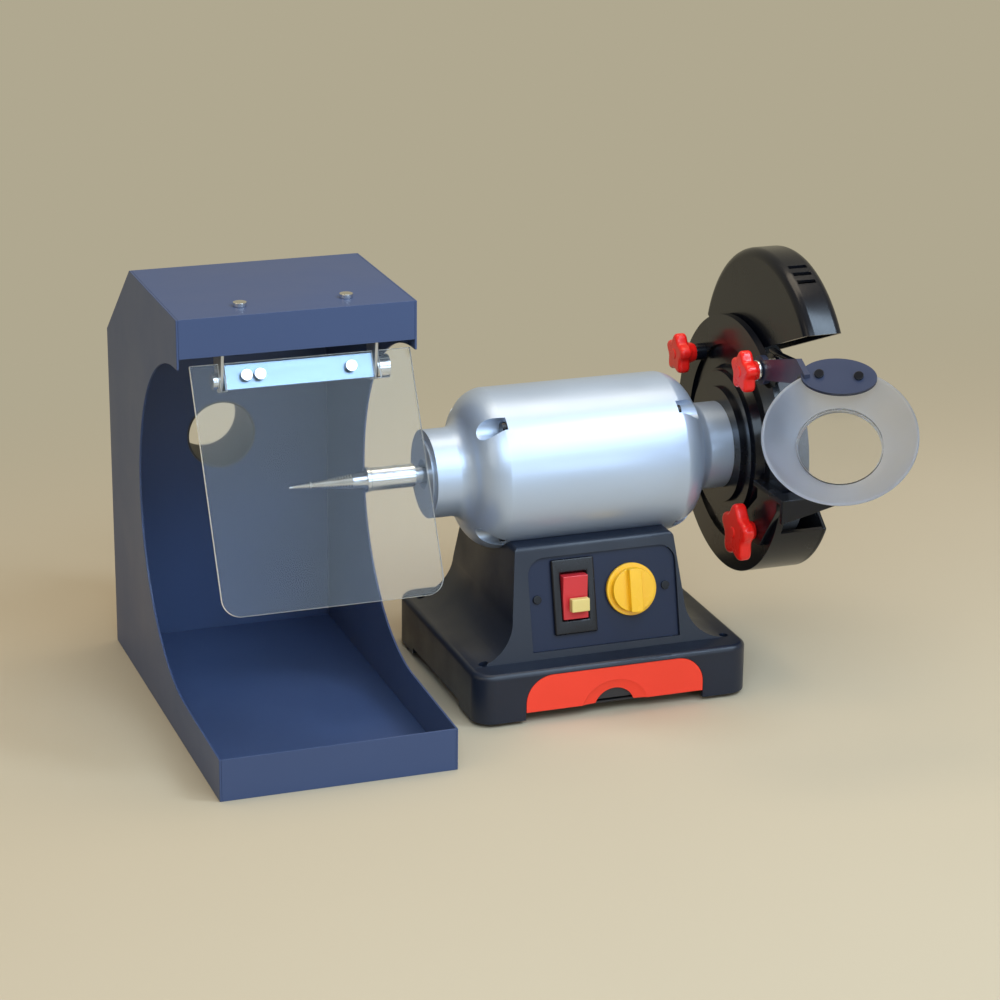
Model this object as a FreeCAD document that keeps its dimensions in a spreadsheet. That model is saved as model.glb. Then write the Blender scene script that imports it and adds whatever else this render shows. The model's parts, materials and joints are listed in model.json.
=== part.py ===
import FreeCAD, Part

import math
import os

import Sketcher

# Polishing lathe: motor on a moulded base, taper spindle in a dust hood, grinding wheel in a guard.
# X runs along the motor axis to the grinding wheel, -Y is the front, Z is up. Lengths are in mm.

doc = FreeCAD.newDocument("PolishingLathe")
sheet = doc.addObject("Spreadsheet::Sheet", "Sizes")

# Driving dimensions

SIZES = {
    # shared
    "axis_height": 155.0,
    "sheet_wall": 3.0,
    "seat_gap": 0.02,
    "running_gap": 0.05,
    "sliding_gap": 0.4,
    "cut_overrun": 2.0,
    # base
    "base_half_long": 100.0,
    "base_half_deep": 88.5,
    "base_top": 38.0,
    "base_corner": 14.0,
    "base_edge_round": 4.0,
    "foot_height": 3.0,
    "arch_height": 4.0,
    "arch_margin": 38.0,
    "foot_radius": 10.0,
    "bolt_half_long": 88.5,
    "bolt_half_deep": 67.0,
    "bolt_hole_radius": 3.25,
    "boss_radius": 7.0,
    "plate_thick": 1.2,
    # pedestal: its top and its hollow end below the bottom of the barrel
    "pedestal_left": 66.0,
    "pedestal_right": 59.5,
    "pedestal_taper": 5.0,
    "pedestal_saddle": 14.0,
    "pedestal_roof": 7.5,
    "pedestal_foot_y": 70.0,
    "pedestal_top_y": 51.7,
    "pedestal_round": 4.0,
    "pedestal_flare": 30.0,
    "pedestal_front_wall": 6.5,
    # control panel, measured up the slope of the pedestal front
    "panel_left": 53.0,
    "panel_right": 55.0,
    "panel_round": 12.0,
    "recess_deep": 4.5,
    "panel_thick": 2.0,
    "switch_x": 20.5,
    "switch_up": 5.8,
    "switch_plate_long": 31.0,
    "switch_rim": 5.5,
    "rocker_margin": 5.25,
    "switch_plate_thick": 3.0,
    "switch_hole_long": 24.0,
    "switch_deep": 26.0,
    "rocker_long": 18.0,
    "rocker_stand": 2.6,
    "rocker_drop": 1.5,
    "rocker_rest_tilt": 8.0,
    "rocker_body_deep": 5.0,
    "key_long": 13.0,
    "key_tall": 9.0,
    "key_stand": 5.5,
    "key_blade": 6.0,
    "key_blade_long": 6.0,
    "key_blade_tall": 3.0,
    "key_aside": 1.5,
    "key_down": 4.5,
    "knob_x": 21.3,
    "knob_radius": 18.2,
    "knob_edge": 3.0,
    "knob_flange_thick": 3.0,
    "knob_stand": 12.0,
    "knob_grip_long": 9.0,
    "knob_grip_stand": 9.0,
    "pot_shaft_radius": 3.0,
    "pot_bush_radius": 5.0,
    "pot_body_radius": 12.0,
    "pot_body_deep": 10.0,
    "panel_screw_x": 47.0,
    "panel_screw_radius": 1.5,
    "panel_screw_head": 3.0,
    "panel_screw_deep": 5.0,
    "board_long": 50.0,
    "board_deep": 34.0,
    "board_thick": 1.6,
    "board_part_tall": 9.0,
    "board_left": 5.0,
    "board_from_back": 51.0,
    "capacitor_radius": 15.0,
    "capacitor_long": 50.0,
    "capacitor_left": 55.0,
    "gland_radius": 8.0,
    "gland_bore": 3.5,
    "gland_long": 13.0,
    # drawer
    "drawer_half_long": 64.5,
    "drawer_low": 8.4,
    "drawer_high": 34.0,
    "drawer_round": 19.0,
    "drawer_front_thick": 3.0,
    "notch_half_long": 14.5,
    "notch_tall": 9.0,
    "tray_half_long": 57.0,
    "tray_tall": 20.0,
    "tray_deep": 108.0,
    "tray_wall": 2.0,
    "runner_tall": 8.0,
    "runner_thick": 3.0,
    # motor
    "barrel_radius": 55.5,
    "barrel_half_long": 56.0,
    "bell_seat": 64.0,
    "bell_wall": 9.5,
    "bell_shoulder_x": 82.0,
    "bell_shoulder_arc": 23.0,
    "bell_neck_x": 92.0,
    "bell_neck_radius": 30.5,
    "bell_neck_arc": 12.0,
    "bell_end": 108.5,
    "bell_bore": 10.0,
    "bearing_radius": 17.5,
    "bearing_wide": 11.0,
    "bearing_start": 93.0,
    "bearing_race": 0.2,
    "tie_radius": 2.0,
    "tie_inset": 5.3,
    "tie_head_radius": 4.0,
    "tie_head_long": 3.0,
    "tie_pocket_radius": 7.0,
    "tie_boss_wall": 2.5,
    "tie_floor": 62.0,
    "tie_angle": 50.0,
    "stator_half_long": 30.0,
    "stator_margin": 5.5,
    "winding_inset": 2.0,
    "stator_key_half": 6.0,
    "winding_long": 18.0,
    "rotor_gap": 0.4,
    "cover_radius": 24.0,
    "cover_thick": 1.6,
    "mount_bolt_x": 38.0,
    "mount_bolt_radius": 3.0,
    "mount_head_radius": 5.5,
    "mount_head_tall": 4.0,
    # shaft and tools
    "shaft_radius": 7.5,
    "spindle_bore": 6.0,
    "wheel_bore": 6.35,
    "spindle_start": 116.5,
    "spindle_radius": 8.0,
    "spindle_body_end": 148.0,
    "spindle_ring_radius": 8.6,
    "spindle_ring_long": 3.0,
    "taper_base_radius": 6.6,
    "taper_smooth_end": 160.0,
    "spindle_tip": 204.5,
    "thread_depth": 0.6,
    "tip_radius": 1.0,
    "spindle_bore_deep": 24.0,
    "set_screw_radius": 2.5,
    "wheel_radius": 75.0,
    "wheel_wide": 16.0,
    "wheel_x": 129.0,
    "flange_radius": 25.0,
    "flange_thick": 2.0,
    "nut_across": 22.0,
    "nut_thick": 6.0,
    "shaft_end_past": 0.6,
    # wheel guard, radii about the axis
    "guard_hub_bore": 20.0,
    "guard_boss_radius": 41.0,
    "guard_boss_x": 108.5,
    "guard_plate_x": 111.5,
    "guard_plate_radius": 52.0,
    "guard_step_x": 114.5,
    "guard_recess_x": 120.0,
    "guard_recess_radius": 70.0,
    "guard_band_x": 117.5,
    "guard_radius": 91.0,
    "guard_wall": 2.5,
    "guard_boss_wall": 4.5,
    "guard_slope": 4.0,
    "rim_end": 154.5,
    "guard_cover_end": 157.5,
    "rim_front_drop": 27.0,
    "rim_rear_rise": 48.0,
    "guard_lug_radius": 11.0,
    "guard_screw_radius": 2.0,
    "guard_screw_head": 3.6,
    "guard_screw_at": 25.0,
    "guard_screw_deep": 10.0,
    # star knobs: places across and above the axis
    "flip_y": 48.0,
    "flip_rise": 54.0,
    "eye_y": 60.0,
    "eye_rise": 71.0,
    "rest_y": 56.0,
    "rest_drop": 46.0,
    "star_lobe_at": 10.5,
    "star_lobe_radius": 4.2,
    "star_thick": 10.0,
    "star_neck_radius": 6.0,
    "star_neck_long": 6.0,
    "large_lobe_at": 15.5,
    "large_lobe_radius": 5.0,
    "stud_radius": 3.0,
    "star_blind": 12.0,
    "eye_nut_across": 13.0,
    # flip-up guard
    "flip_open_angle": 44.4,
    "flip_inner_x": 125.5,
    "flip_outer_x": 153.5,
    "flip_outer_radius": 95.0,
    "flip_wall": 2.5,
    "flip_low_angle": 18.0,
    "flip_high_angle": 144.0,
    "flip_chord_angle": 21.6,
    "flip_ear_radius": 11.0,
    "flip_ear_inset": 15.0,
    "vent_long": 13.0,
    "vent_wide": 2.0,
    "vent_angle": 108.0,
    "vent_step": 5.0,
    # eye shield
    "eye_arm_start": 111.5,
    "eye_arm_thick": 4.0,
    "eye_arm_wide": 14.0,
    "lens_x": 122.0,
    "lens_y": 164.4,
    "lens_rise": 54.9,
    "lens_tilt": 42.8,
    "lens_swing": 28.0,
    "lens_ring_radius": 51.3,
    "lens_deep": 18.0,
    "lens_radius": 27.0,
    "lens_thick": 3.0,
    "lens_seat": 1.5,
    "lens_lip_wide": 2.5,
    "lens_lip_thick": 2.0,
    "lens_plate_long": 50.0,
    "lens_plate_wide": 27.0,
    "lens_plate_up": 43.4,
    "lens_plate_aside": 3.3,
    "lens_screw_up": 44.0,
    "lens_screw_pitch": 26.0,
    "lens_screw_radius": 1.6,
    "lens_screw_head": 3.2,
    # spark guard and tool rest
    "spark_thick": 2.0,
    "spark_wide": 5.0,
    "spark_front_y": 98.0,
    "spark_middle_y": 68.0,
    "spark_back_y": 55.0,
    "rest_top_drop": 7.5,
    "rest_thick": 4.0,
    "rest_left": 110.0,
    "rest_right": 160.0,
    "rest_front_y": 108.0,
    "rest_back_y": 92.0,
    "rest_tongue_y": 77.0,
    "rest_tongue_left": 126.0,
    "rest_tongue_right": 151.0,
    "rest_strip_back_y": 60.0,
    "rest_flange_deep": 17.0,
    "rest_flange_end": 5.0,
    "rest_bracket_half": 9.0,
    "rest_travel": 10.0,
    # dust hood
    "hood_left": 292.5,
    "hood_right": 132.5,
    "hood_front_y": 144.0,
    "hood_back_y": 149.0,
    "hood_tall": 294.0,
    "hood_back_tall": 234.0,
    "hood_chamfer_y": 73.0,
    "hood_top_front_y": 57.0,
    "hood_lip_tall": 29.0,
    "hood_flange_tall": 26.0,
    "hood_sheet": 1.5,
    "opening_low": 31.0,
    "opening_head": 7.0,
    "opening_center_y": 55.0,
    "outlet_x": 212.5,
    "outlet_z": 148.5,
    "outlet_radius": 23.5,
    "outlet_wall": 1.5,
    "outlet_long": 50.0,
    "outlet_flange": 6.0,
    "bracket_bolt_left": 245.1,
    "bracket_bolt_right": 174.0,
    "bracket_bolt_y": 36.0,
    "bracket_bolt_radius": 2.5,
    "bracket_bolt_head": 4.5,
    "bracket_bolt_tall": 3.0,
    "ear_left": 262.5,
    "ear_right": 157.5,
    "ear_thick": 2.0,
    "ear_wide": 18.0,
    "strap_deep": 27.0,
    "ear_margin": 1.0,
    "pivot_y": 42.5,
    "pivot_drop": 46.7,
    "pivot_radius": 2.5,
    "pivot_head": 5.5,
    "pivot_head_long": 4.0,
    # tilting shield
    "shield_left": 282.0,
    "shield_right": 134.6,
    "shield_tall": 163.0,
    "shield_thick": 3.0,
    "shield_round": 12.0,
    "shield_tilt": 27.9,
    "shield_above": 9.0,
    "slot_margin": 1.0,
    "bar_tall": 16.0,
    "bar_thick": 2.0,
    "shield_screw_radius": 2.0,
    "shield_screw_head": 3.8,
    "shield_screw_left": 246.0,
    "shield_screw_middle": 237.0,
    "shield_screw_right": 176.0,
    "thumb_radius": 8.0,
    "thumb_long": 9.0,
}

# Counts and shares

LOBE_COUNT = 5
VENT_COUNT = 3
THREAD_COUNT = 12
HALF_SHARE = 0.5
SHOULDER_SHARE = 0.7207
STATOR_BORE_SHARE = 0.5405
BELL_CORE_SHARE = 0.7
PANEL_MIDDLE_SHARE = 0.4503
PANEL_LOW_SHARE = 0.3974
PANEL_HIGH_SHARE = 0.4543
SWITCH_SHARE = 0.8087
KNOB_UP_SHARE = 0.0933
BOARD_PART_SHARES = (0.1, 0.4, 0.7)
BOARD_FOOT_SHARES = (0.1, 0.9)

X_AXIS = FreeCAD.Vector(1, 0, 0)
Y_AXIS = FreeCAD.Vector(0, 1, 0)
Z_AXIS = FreeCAD.Vector(0, 0, 1)
RIGHT_ANGLE = 90.0


# A size is a number together with the sheet expression that yields it

class Size:
    def __init__(self, value, text):
        self.value = float(value)
        self.text = text

    def __add__(self, other):
        other = as_size(other)
        return Size(self.value + other.value, "(%s + %s)" % (self.text, other.text))

    def __sub__(self, other):
        other = as_size(other)
        return Size(self.value - other.value, "(%s - %s)" % (self.text, other.text))

    def __mul__(self, other):
        other = as_size(other)
        return Size(self.value * other.value, "(%s * %s)" % (self.text, other.text))

    def __truediv__(self, other):
        other = as_size(other)
        return Size(self.value / other.value, "(%s / %s)" % (self.text, other.text))

    def __neg__(self):
        return Size(-self.value, "(0 - %s)" % self.text)

    def __radd__(self, other):
        return as_size(other) + self

    def __rsub__(self, other):
        return as_size(other) - self

    def __rmul__(self, other):
        return as_size(other) * self


def as_size(number):
    if isinstance(number, Size):
        return number
    return Size(number, "(%r)" % float(number))


def sine(angle):
    angle = as_size(angle)
    return Size(math.sin(math.radians(angle.value)), "sin(%s * 1 deg)" % angle.text)


def cosine(angle):
    angle = as_size(angle)
    return Size(math.cos(math.radians(angle.value)), "cos(%s * 1 deg)" % angle.text)


def root(number):
    return Size(math.sqrt(number.value), "sqrt(%s)" % number.text)


def angle_of(rise, run):
    value = math.degrees(math.atan2(rise.value, run.value))
    return Size(value, "(atan(%s / %s) / 1 deg)" % (rise.text, run.text))


class Sheet:
    def __init__(self, table):
        for row, (name, value) in enumerate(table.items(), start=1):
            cell = "A%d" % row
            sheet.set(cell, repr(value))
            sheet.setAlias(cell, name)
            setattr(self, name, Size(value, "Sizes." + name))


S = Sheet(SIZES)
doc.recompute()


# Helpers for objects of the document

def bind(item, prop, size):
    size = as_size(size)
    if not prop.startswith("."):
        setattr(item, prop, size.value)
    item.setExpression(prop, size.text)


def place(item, x=0, y=0, z=0, turn=0, axis=X_AXIS):
    spot = [as_size(number) for number in (x, y, z)]
    turn = as_size(turn)
    base = FreeCAD.Vector(*[size.value for size in spot])
    item.Placement = FreeCAD.Placement(base, FreeCAD.Rotation(axis, turn.value))
    for letter, size in zip("xyz", spot):
        item.setExpression(".Placement.Base." + letter, size.text)
    if turn.text.count("Sizes"):
        item.setExpression(".Placement.Rotation.Angle", turn.text)
    return item


def box(x, y, z, long, deep, tall):
    item = doc.addObject("Part::Box", "Box")
    bind(item, "Length", long)
    bind(item, "Width", deep)
    bind(item, "Height", tall)
    return place(item, x, y, z)


def rod(x, y, z, radius, long, turn=0, axis=Y_AXIS):
    item = doc.addObject("Part::Cylinder", "Rod")
    bind(item, "Radius", radius)
    bind(item, "Height", long)
    return place(item, x, y, z, turn, axis)


def rod_x(x, y, z, radius, long):
    return rod(x, y, z, radius, long, RIGHT_ANGLE, Y_AXIS)


def rod_y(x, y, z, radius, long):
    return rod(x, y, z, radius, long, -RIGHT_ANGLE, X_AXIS)


def hexagon(x, y, z, across, long, turn=RIGHT_ANGLE, axis=Y_AXIS):
    item = doc.addObject("Part::Prism", "Hexagon")
    item.Polygon = 6
    bind(item, "Circumradius", as_size(across) / root(as_size(3)))
    bind(item, "Height", long)
    return place(item, x, y, z, turn, axis)


def fuse(*items):
    item = doc.addObject("Part::MultiFuse", "Joined")
    item.Shapes = list(items)
    return item


def cut(base, *tools):
    item = doc.addObject("Part::Cut", "Cut")
    item.Base = base
    item.Tool = tools[0] if len(tools) == 1 else fuse(*tools)
    return item


def common(base, tool):
    item = doc.addObject("Part::Common", "Shared")
    item.Base = base
    item.Tool = tool
    return item


def together(*items):
    item = doc.addObject("Part::Compound", "Group")
    item.Links = list(items)
    return item


def mirrored(source, normal):
    item = doc.addObject("Part::Mirroring", "Mirror")
    item.Source = source
    item.Normal = normal
    return item


def tangent(angle):
    return sine(angle) / cosine(angle)


def tilted(item, frame, x, up, out):
    across, back, height, turn = frame
    y = back + up * cosine(turn) - out * sine(turn)
    z = height + up * sine(turn) + out * cosine(turn)
    return place(item, across + x, y, z, turn)


def at_angle(distance, angle):
    return distance * cosine(angle), distance * sine(angle)


# Sketched outlines: a point is (u, v) or (u, v, rounding); arcs maps a side's number to (radius, way)

def unit(start, end):
    return (end - start).normalize()


def corner_arc(before, corner, after, radius):
    first = unit(before, corner)
    second = unit(corner, after)
    bend = first.getAngle(second)
    reach = radius * math.tan(bend / 2)
    left = 1 if first.cross(second).z > 0 else -1
    normal = FreeCAD.Vector(-first.y, first.x, 0) * left
    start = corner - first * reach
    end = corner + second * reach
    return start, end, start + normal * radius, left


def arc_between(start, end, radius, way):
    chord = end - start
    half = chord.Length / 2
    along = unit(start, end)
    normal = FreeCAD.Vector(-along.y, along.x, 0) * way
    center = start + along * half + normal * math.sqrt(max(radius * radius - half * half, 0))
    return ccw_arc(center, radius, start, end, way)


def ccw_arc(center, radius, start, end, way):
    if way < 0:
        start, end = end, start
    first = math.atan2(start.y - center.y, start.x - center.x)
    last = math.atan2(end.y - center.y, end.x - center.x)
    return Part.ArcOfCircle(Part.Circle(center, Z_AXIS, radius), first, last)


def constrain(sketch, kind, *where):
    size = as_size(where[-1])
    number = sketch.addConstraint(Sketcher.Constraint(kind, *where[:-1], size.value))
    sketch.setExpression("Constraints[%d]" % number, size.text)


def draw_outline(sketch, points, arcs):
    points = [tuple(as_size(number) for number in point) for point in points]
    count = len(points)
    spots = [FreeCAD.Vector(point[0].value, point[1].value, 0) for point in points]
    starts = list(spots)
    ends = list(spots)
    corners = {}
    for number, point in enumerate(points):
        if len(point) == 3:
            corner = corner_arc(spots[number - 1], spots[number], spots[(number + 1) % count], point[2].value)
            starts[number], ends[number] = corner[0], corner[1]
            corners[number] = corner
    for number in range(count):
        start, end = ends[number], starts[(number + 1) % count]
        if number in arcs:
            radius, way = arcs[number]
            sketch.addGeometry(arc_between(start, end, radius.value, way), False)
        else:
            sketch.addGeometry(Part.LineSegment(start, end), False)
    for number, point in enumerate(points):
        before = (number - 1) % count
        before_end = 1 if arcs.get(before, (0, 1))[1] < 0 else 2
        after_start = 2 if arcs.get(number, (0, 1))[1] < 0 else 1
        if number in corners:
            start, end, center, left = corners[number]
            arc = sketch.addGeometry(ccw_arc(center, point[2].value, start, end, left), False)
            mark = sketch.addGeometry(Part.Point(spots[number]), True)
            first, last = (1, 2) if left > 0 else (2, 1)
            sketch.addConstraint(Sketcher.Constraint("Tangent", before, before_end, arc, first))
            sketch.addConstraint(Sketcher.Constraint("Tangent", arc, last, number, after_start))
            constrain(sketch, "Radius", arc, point[2])
            sketch.addConstraint(Sketcher.Constraint("PointOnObject", mark, 1, before))
            sketch.addConstraint(Sketcher.Constraint("PointOnObject", mark, 1, number))
            held, held_at = mark, 1
        else:
            sketch.addConstraint(Sketcher.Constraint("Coincident", before, before_end, number, after_start))
            held, held_at = number, after_start
        constrain(sketch, "DistanceX", -1, 1, held, held_at, point[0])
        constrain(sketch, "DistanceY", -1, 1, held, held_at, point[1])
    for number, (radius, way) in arcs.items():
        constrain(sketch, "Radius", number, radius)


def draw_circle(sketch, u, v, radius):
    u, v, radius = as_size(u), as_size(v), as_size(radius)
    center = FreeCAD.Vector(u.value, v.value, 0)
    number = sketch.addGeometry(Part.Circle(center, Z_AXIS, radius.value), False)
    constrain(sketch, "Radius", number, radius)
    constrain(sketch, "DistanceX", -1, 1, number, 3, u)
    constrain(sketch, "DistanceY", -1, 1, number, 3, v)


def sketched(plane, points, arcs, holes=()):
    body = doc.addObject("PartDesign::Body", "Body")
    sketch = body.newObject("Sketcher::SketchObject", "Outline")
    support = [item for item in body.Origin.OriginFeatures if item.Role == plane][0]
    sketch.AttachmentSupport = [(support, "")]
    sketch.MapMode = "FlatFace"
    draw_outline(sketch, points, arcs or {})
    for hole in holes:
        draw_circle(sketch, *hole)
    return body, sketch


def slab(plane, points, long, arcs=None, holes=()):
    body, sketch = sketched(plane, points, arcs, holes)
    pad = body.newObject("PartDesign::Pad", "Pad")
    pad.Profile = sketch
    bind(pad, "Length", long)
    return body


def turned(points, arcs=None):
    body, sketch = sketched("XZ_Plane", points, arcs)
    spin = body.newObject("PartDesign::Revolution", "Spin")
    spin.Profile = sketch
    spin.ReferenceAxis = (sketch, ["H_Axis"])
    spin.Angle = 360
    return place(body, 0, 0, S.axis_height)


def round_edges(body, radius, wanted):
    doc.recompute()
    names = []
    for number, edge in enumerate(body.Tip.Shape.Edges, start=1):
        if wanted(edge):
            names.append("Edge%d" % number)
    base = body.Tip
    fillet = body.newObject("PartDesign::Fillet", "Rounding")
    fillet.Base = (base, names)
    bind(fillet, "Radius", radius)
    return body


NODES = []


def node(name, item):
    item.Label = name
    NODES.append(item)
    return item


# Base shell with the sloped pedestal

def base_outline(inset):
    across = S.base_half_long - inset
    back = S.base_half_deep - inset
    radius = S.base_corner - inset
    return [(-across, -back, radius), (across, -back, radius), (across, back, radius), (-across, back, radius)]


def corner_rods(z, radius, tall):
    rods = []
    for across in (-1, 1):
        for back in (-1, 1):
            rods.append(rod(S.bolt_half_long * across, S.bolt_half_deep * back, z, radius, tall))
    return rods


def axis_rod(x, radius, long):
    return rod_x(x, 0, S.axis_height, radius, long)


top_z = S.base_top
inner_z = S.base_top - S.sheet_wall
front_y = -S.base_half_deep
pedestal_run = S.pedestal_foot_y - S.pedestal_top_y
barrel_low = S.axis_height - S.barrel_radius
pedestal_top = barrel_low + S.pedestal_saddle
cavity_top = barrel_low - S.pedestal_roof
pedestal_climb = pedestal_top - S.base_top
pedestal_lean = angle_of(pedestal_run, pedestal_climb)
pedestal_slope = pedestal_run / pedestal_climb

base_block = slab("XY_Plane", base_outline(as_size(0)), S.base_top - S.foot_height)
round_edges(base_block, S.base_edge_round, lambda edge: min(v.Z for v in edge.Vertexes) > S.base_top.value * HALF_SHARE)
place(base_block, 0, 0, S.foot_height)
flare_left = S.pedestal_left + S.pedestal_flare
flare_right = S.pedestal_right + S.pedestal_flare
flare_long = flare_left + flare_right
pedestal_side = slab("YZ_Plane", [
    (-S.pedestal_foot_y, top_z),
    (S.pedestal_foot_y, top_z),
    (S.pedestal_top_y, pedestal_top, S.pedestal_round),
    (-S.pedestal_top_y, pedestal_top, S.pedestal_round),
], flare_long)
place(pedestal_side, -flare_left, 0, 0)
pedestal_front = slab("XZ_Plane", [
    (-flare_left, top_z),
    (flare_right, top_z),
    (S.pedestal_right, top_z + S.pedestal_flare),
    (S.pedestal_right - S.pedestal_taper, pedestal_top, S.pedestal_round),
    (-S.pedestal_left + S.pedestal_taper, pedestal_top, S.pedestal_round),
    (-S.pedestal_left, top_z + S.pedestal_flare),
], S.base_half_deep * 2, arcs={1: (S.pedestal_flare, -1), 5: (S.pedestal_flare, -1)})
place(pedestal_front, 0, S.base_half_deep, 0)
pedestal = common(pedestal_side, pedestal_front)

base_hollow = slab("XY_Plane", base_outline(S.sheet_wall), inner_z - S.foot_height + S.cut_overrun)
place(base_hollow, 0, 0, S.foot_height - S.cut_overrun)
cavity_front = S.pedestal_foot_y - S.pedestal_front_wall
cavity_back = S.pedestal_foot_y - S.sheet_wall
cavity_climb = cavity_top - top_z
cavity_left = S.pedestal_left - S.pedestal_taper - S.sheet_wall
cavity_right = S.pedestal_right - S.pedestal_taper - S.sheet_wall
pedestal_hollow = slab("YZ_Plane", [
    (-cavity_front, inner_z - S.cut_overrun),
    (cavity_back, inner_z - S.cut_overrun),
    (cavity_back, top_z),
    (cavity_back - pedestal_slope * cavity_climb, cavity_top),
    (-cavity_front + pedestal_slope * cavity_climb, cavity_top),
    (-cavity_front, top_z),
], cavity_left + cavity_right)
place(pedestal_hollow, -cavity_left, 0, 0)
saddle = axis_rod(-flare_left, S.barrel_radius + S.seat_gap, flare_long)
arch_half_x = S.base_half_long - S.arch_margin
arch_half_y = S.base_half_deep - S.arch_margin
arch_low = S.foot_height - S.cut_overrun
arch_tall = S.arch_height + S.cut_overrun
arch_x = box(-arch_half_x, front_y - S.cut_overrun, arch_low,
             arch_half_x * 2, (S.base_half_deep + S.cut_overrun) * 2, arch_tall)
arch_y = box(-S.base_half_long - S.cut_overrun, -arch_half_y, arch_low,
             (S.base_half_long + S.cut_overrun) * 2, arch_half_y * 2, arch_tall)

bay_half = S.drawer_half_long + S.sliding_gap
bay_high = S.drawer_high + S.sliding_gap
bay = slab("XZ_Plane", [
    (-bay_half, 0),
    (bay_half, 0),
    (bay_half, bay_high, S.drawer_round + S.sliding_gap),
    (-bay_half, bay_high, S.drawer_round + S.sliding_gap),
], S.sheet_wall + S.cut_overrun * 2)
place(bay, 0, front_y + S.sheet_wall + S.cut_overrun, 0)

# Sloped frame of the control panel: across, back, height and turn of its middle
panel_rise = pedestal_climb * PANEL_MIDDLE_SHARE
panel_low = pedestal_climb * PANEL_LOW_SHARE
panel_high = pedestal_climb * PANEL_HIGH_SHARE
panel_tall = panel_low + panel_high
switch_plate_tall = panel_tall * SWITCH_SHARE
switch_hole_tall = switch_plate_tall - S.switch_rim * 2
rocker_tall = switch_hole_tall - S.rocker_margin * 2
knob_up = panel_tall * KNOB_UP_SHARE
knob_body_radius = S.knob_radius - S.knob_edge
PANEL = (as_size(0), -S.pedestal_foot_y + pedestal_slope * panel_rise, top_z + panel_rise, RIGHT_ANGLE - pedestal_lean)


def panel_outline(inset):
    radius = S.panel_round - inset
    left = -S.panel_left + inset
    right = S.panel_right - inset
    low = -panel_low + inset
    high = panel_high - inset
    return [(left, low), (right, low), (right, high, radius), (left, high, radius)]


def panel_block(x, up, out, long, tall, deep):
    return tilted(box(0, 0, 0, long, tall, deep), PANEL, x - long / 2, up - tall / 2, out)


def panel_rod(x, up, out, radius, long):
    return tilted(rod(0, 0, 0, radius, long), PANEL, x, up, out)


front_wall = S.pedestal_front_wall * cosine(pedestal_lean)
plate_top = S.panel_thick - S.recess_deep
cut_through = front_wall + S.cut_overrun * 2
recess = slab("XY_Plane", panel_outline(as_size(0)), S.recess_deep + S.cut_overrun)
tilted(recess, PANEL, 0, 0, -S.recess_deep)
switch_long = S.switch_hole_long - S.seat_gap * 2
switch_tall = switch_hole_tall - S.seat_gap * 2


def switch_hole():
    deep = S.switch_deep + S.recess_deep
    return panel_block(-S.switch_x, S.switch_up, -deep, S.switch_hole_long, switch_hole_tall,
                       deep + S.cut_overrun)


def bush_hole():
    return panel_rod(S.knob_x, knob_up, -front_wall - S.cut_overrun, S.pot_bush_radius + S.seat_gap, cut_through)


def pot_room():
    return panel_rod(S.knob_x, knob_up, -front_wall - S.seat_gap * 2 - S.pot_body_deep,
                     S.pot_body_radius + S.seat_gap, S.pot_body_deep + S.seat_gap * 2)


def panel_screw_holes():
    radius = S.panel_screw_radius + S.seat_gap
    return [panel_rod(S.panel_screw_x * way, S.switch_up, -front_wall - S.cut_overrun, radius, cut_through)
            for way in (-1, 1)]


def mount_rods(z, radius, tall):
    rods = []
    for across in (-1, 1):
        for back in (-1, 1):
            rods.append(rod(S.mount_bolt_x * across, S.mount_head_radius * back * 2, z, radius, tall))
    return rods


gland_z = (S.foot_height + S.arch_height + inner_z) / 2
gland_x = arch_half_x
gland_hole = rod_y(gland_x, S.base_half_deep - S.sheet_wall - S.cut_overrun, gland_z,
                   S.gland_radius / 2 + S.gland_bore / 2 + S.seat_gap, S.sheet_wall + S.cut_overrun * 2)
boss_tall = inner_z + S.seat_gap
shell = cut(fuse(base_block, pedestal), base_hollow, pedestal_hollow, saddle, arch_x, arch_y, bay, recess,
            switch_hole(), bush_hole(), pot_room(), gland_hole, *panel_screw_holes(),
            *mount_rods(cavity_top - S.cut_overrun, S.mount_bolt_radius + S.seat_gap, S.barrel_radius))
bosses = corner_rods(0, S.boss_radius, boss_tall)
shell = cut(fuse(shell, *bosses), *corner_rods(-S.cut_overrun, S.bolt_hole_radius, S.axis_height))
node("base_shell", shell)

feet = [cut(outer, hole) for outer, hole in zip(
    corner_rods(0, S.foot_radius, S.foot_height),
    corner_rods(-S.cut_overrun, S.boss_radius + S.seat_gap, S.foot_height + S.cut_overrun * 2))]
node("rubber_feet", together(*feet))

floor_z = S.foot_height + S.arch_height + S.sliding_gap
floor_top = floor_z + S.plate_thick
floor = slab("XY_Plane", base_outline(S.sheet_wall + S.sliding_gap), S.plate_thick)
place(floor, 0, 0, floor_z)
node("base_plate", cut(floor, *corner_rods(0, S.boss_radius + S.seat_gap, S.base_top)))

# Control panel with switch, key and speed knob
panel = slab("XY_Plane", panel_outline(S.seat_gap), S.panel_thick)
tilted(panel, PANEL, 0, 0, -S.recess_deep)
node("control_panel", cut(panel, switch_hole(), bush_hole(), *panel_screw_holes()))

screws = []
for way in (-1, 1):
    head = panel_rod(S.panel_screw_x * way, S.switch_up, plate_top, S.panel_screw_head, S.panel_screw_radius)
    shank = panel_rod(S.panel_screw_x * way, S.switch_up, plate_top - S.panel_screw_deep,
                      S.panel_screw_radius, S.panel_screw_deep)
    screws.append(fuse(head, shank))
node("panel_screws", together(*screws))

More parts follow.
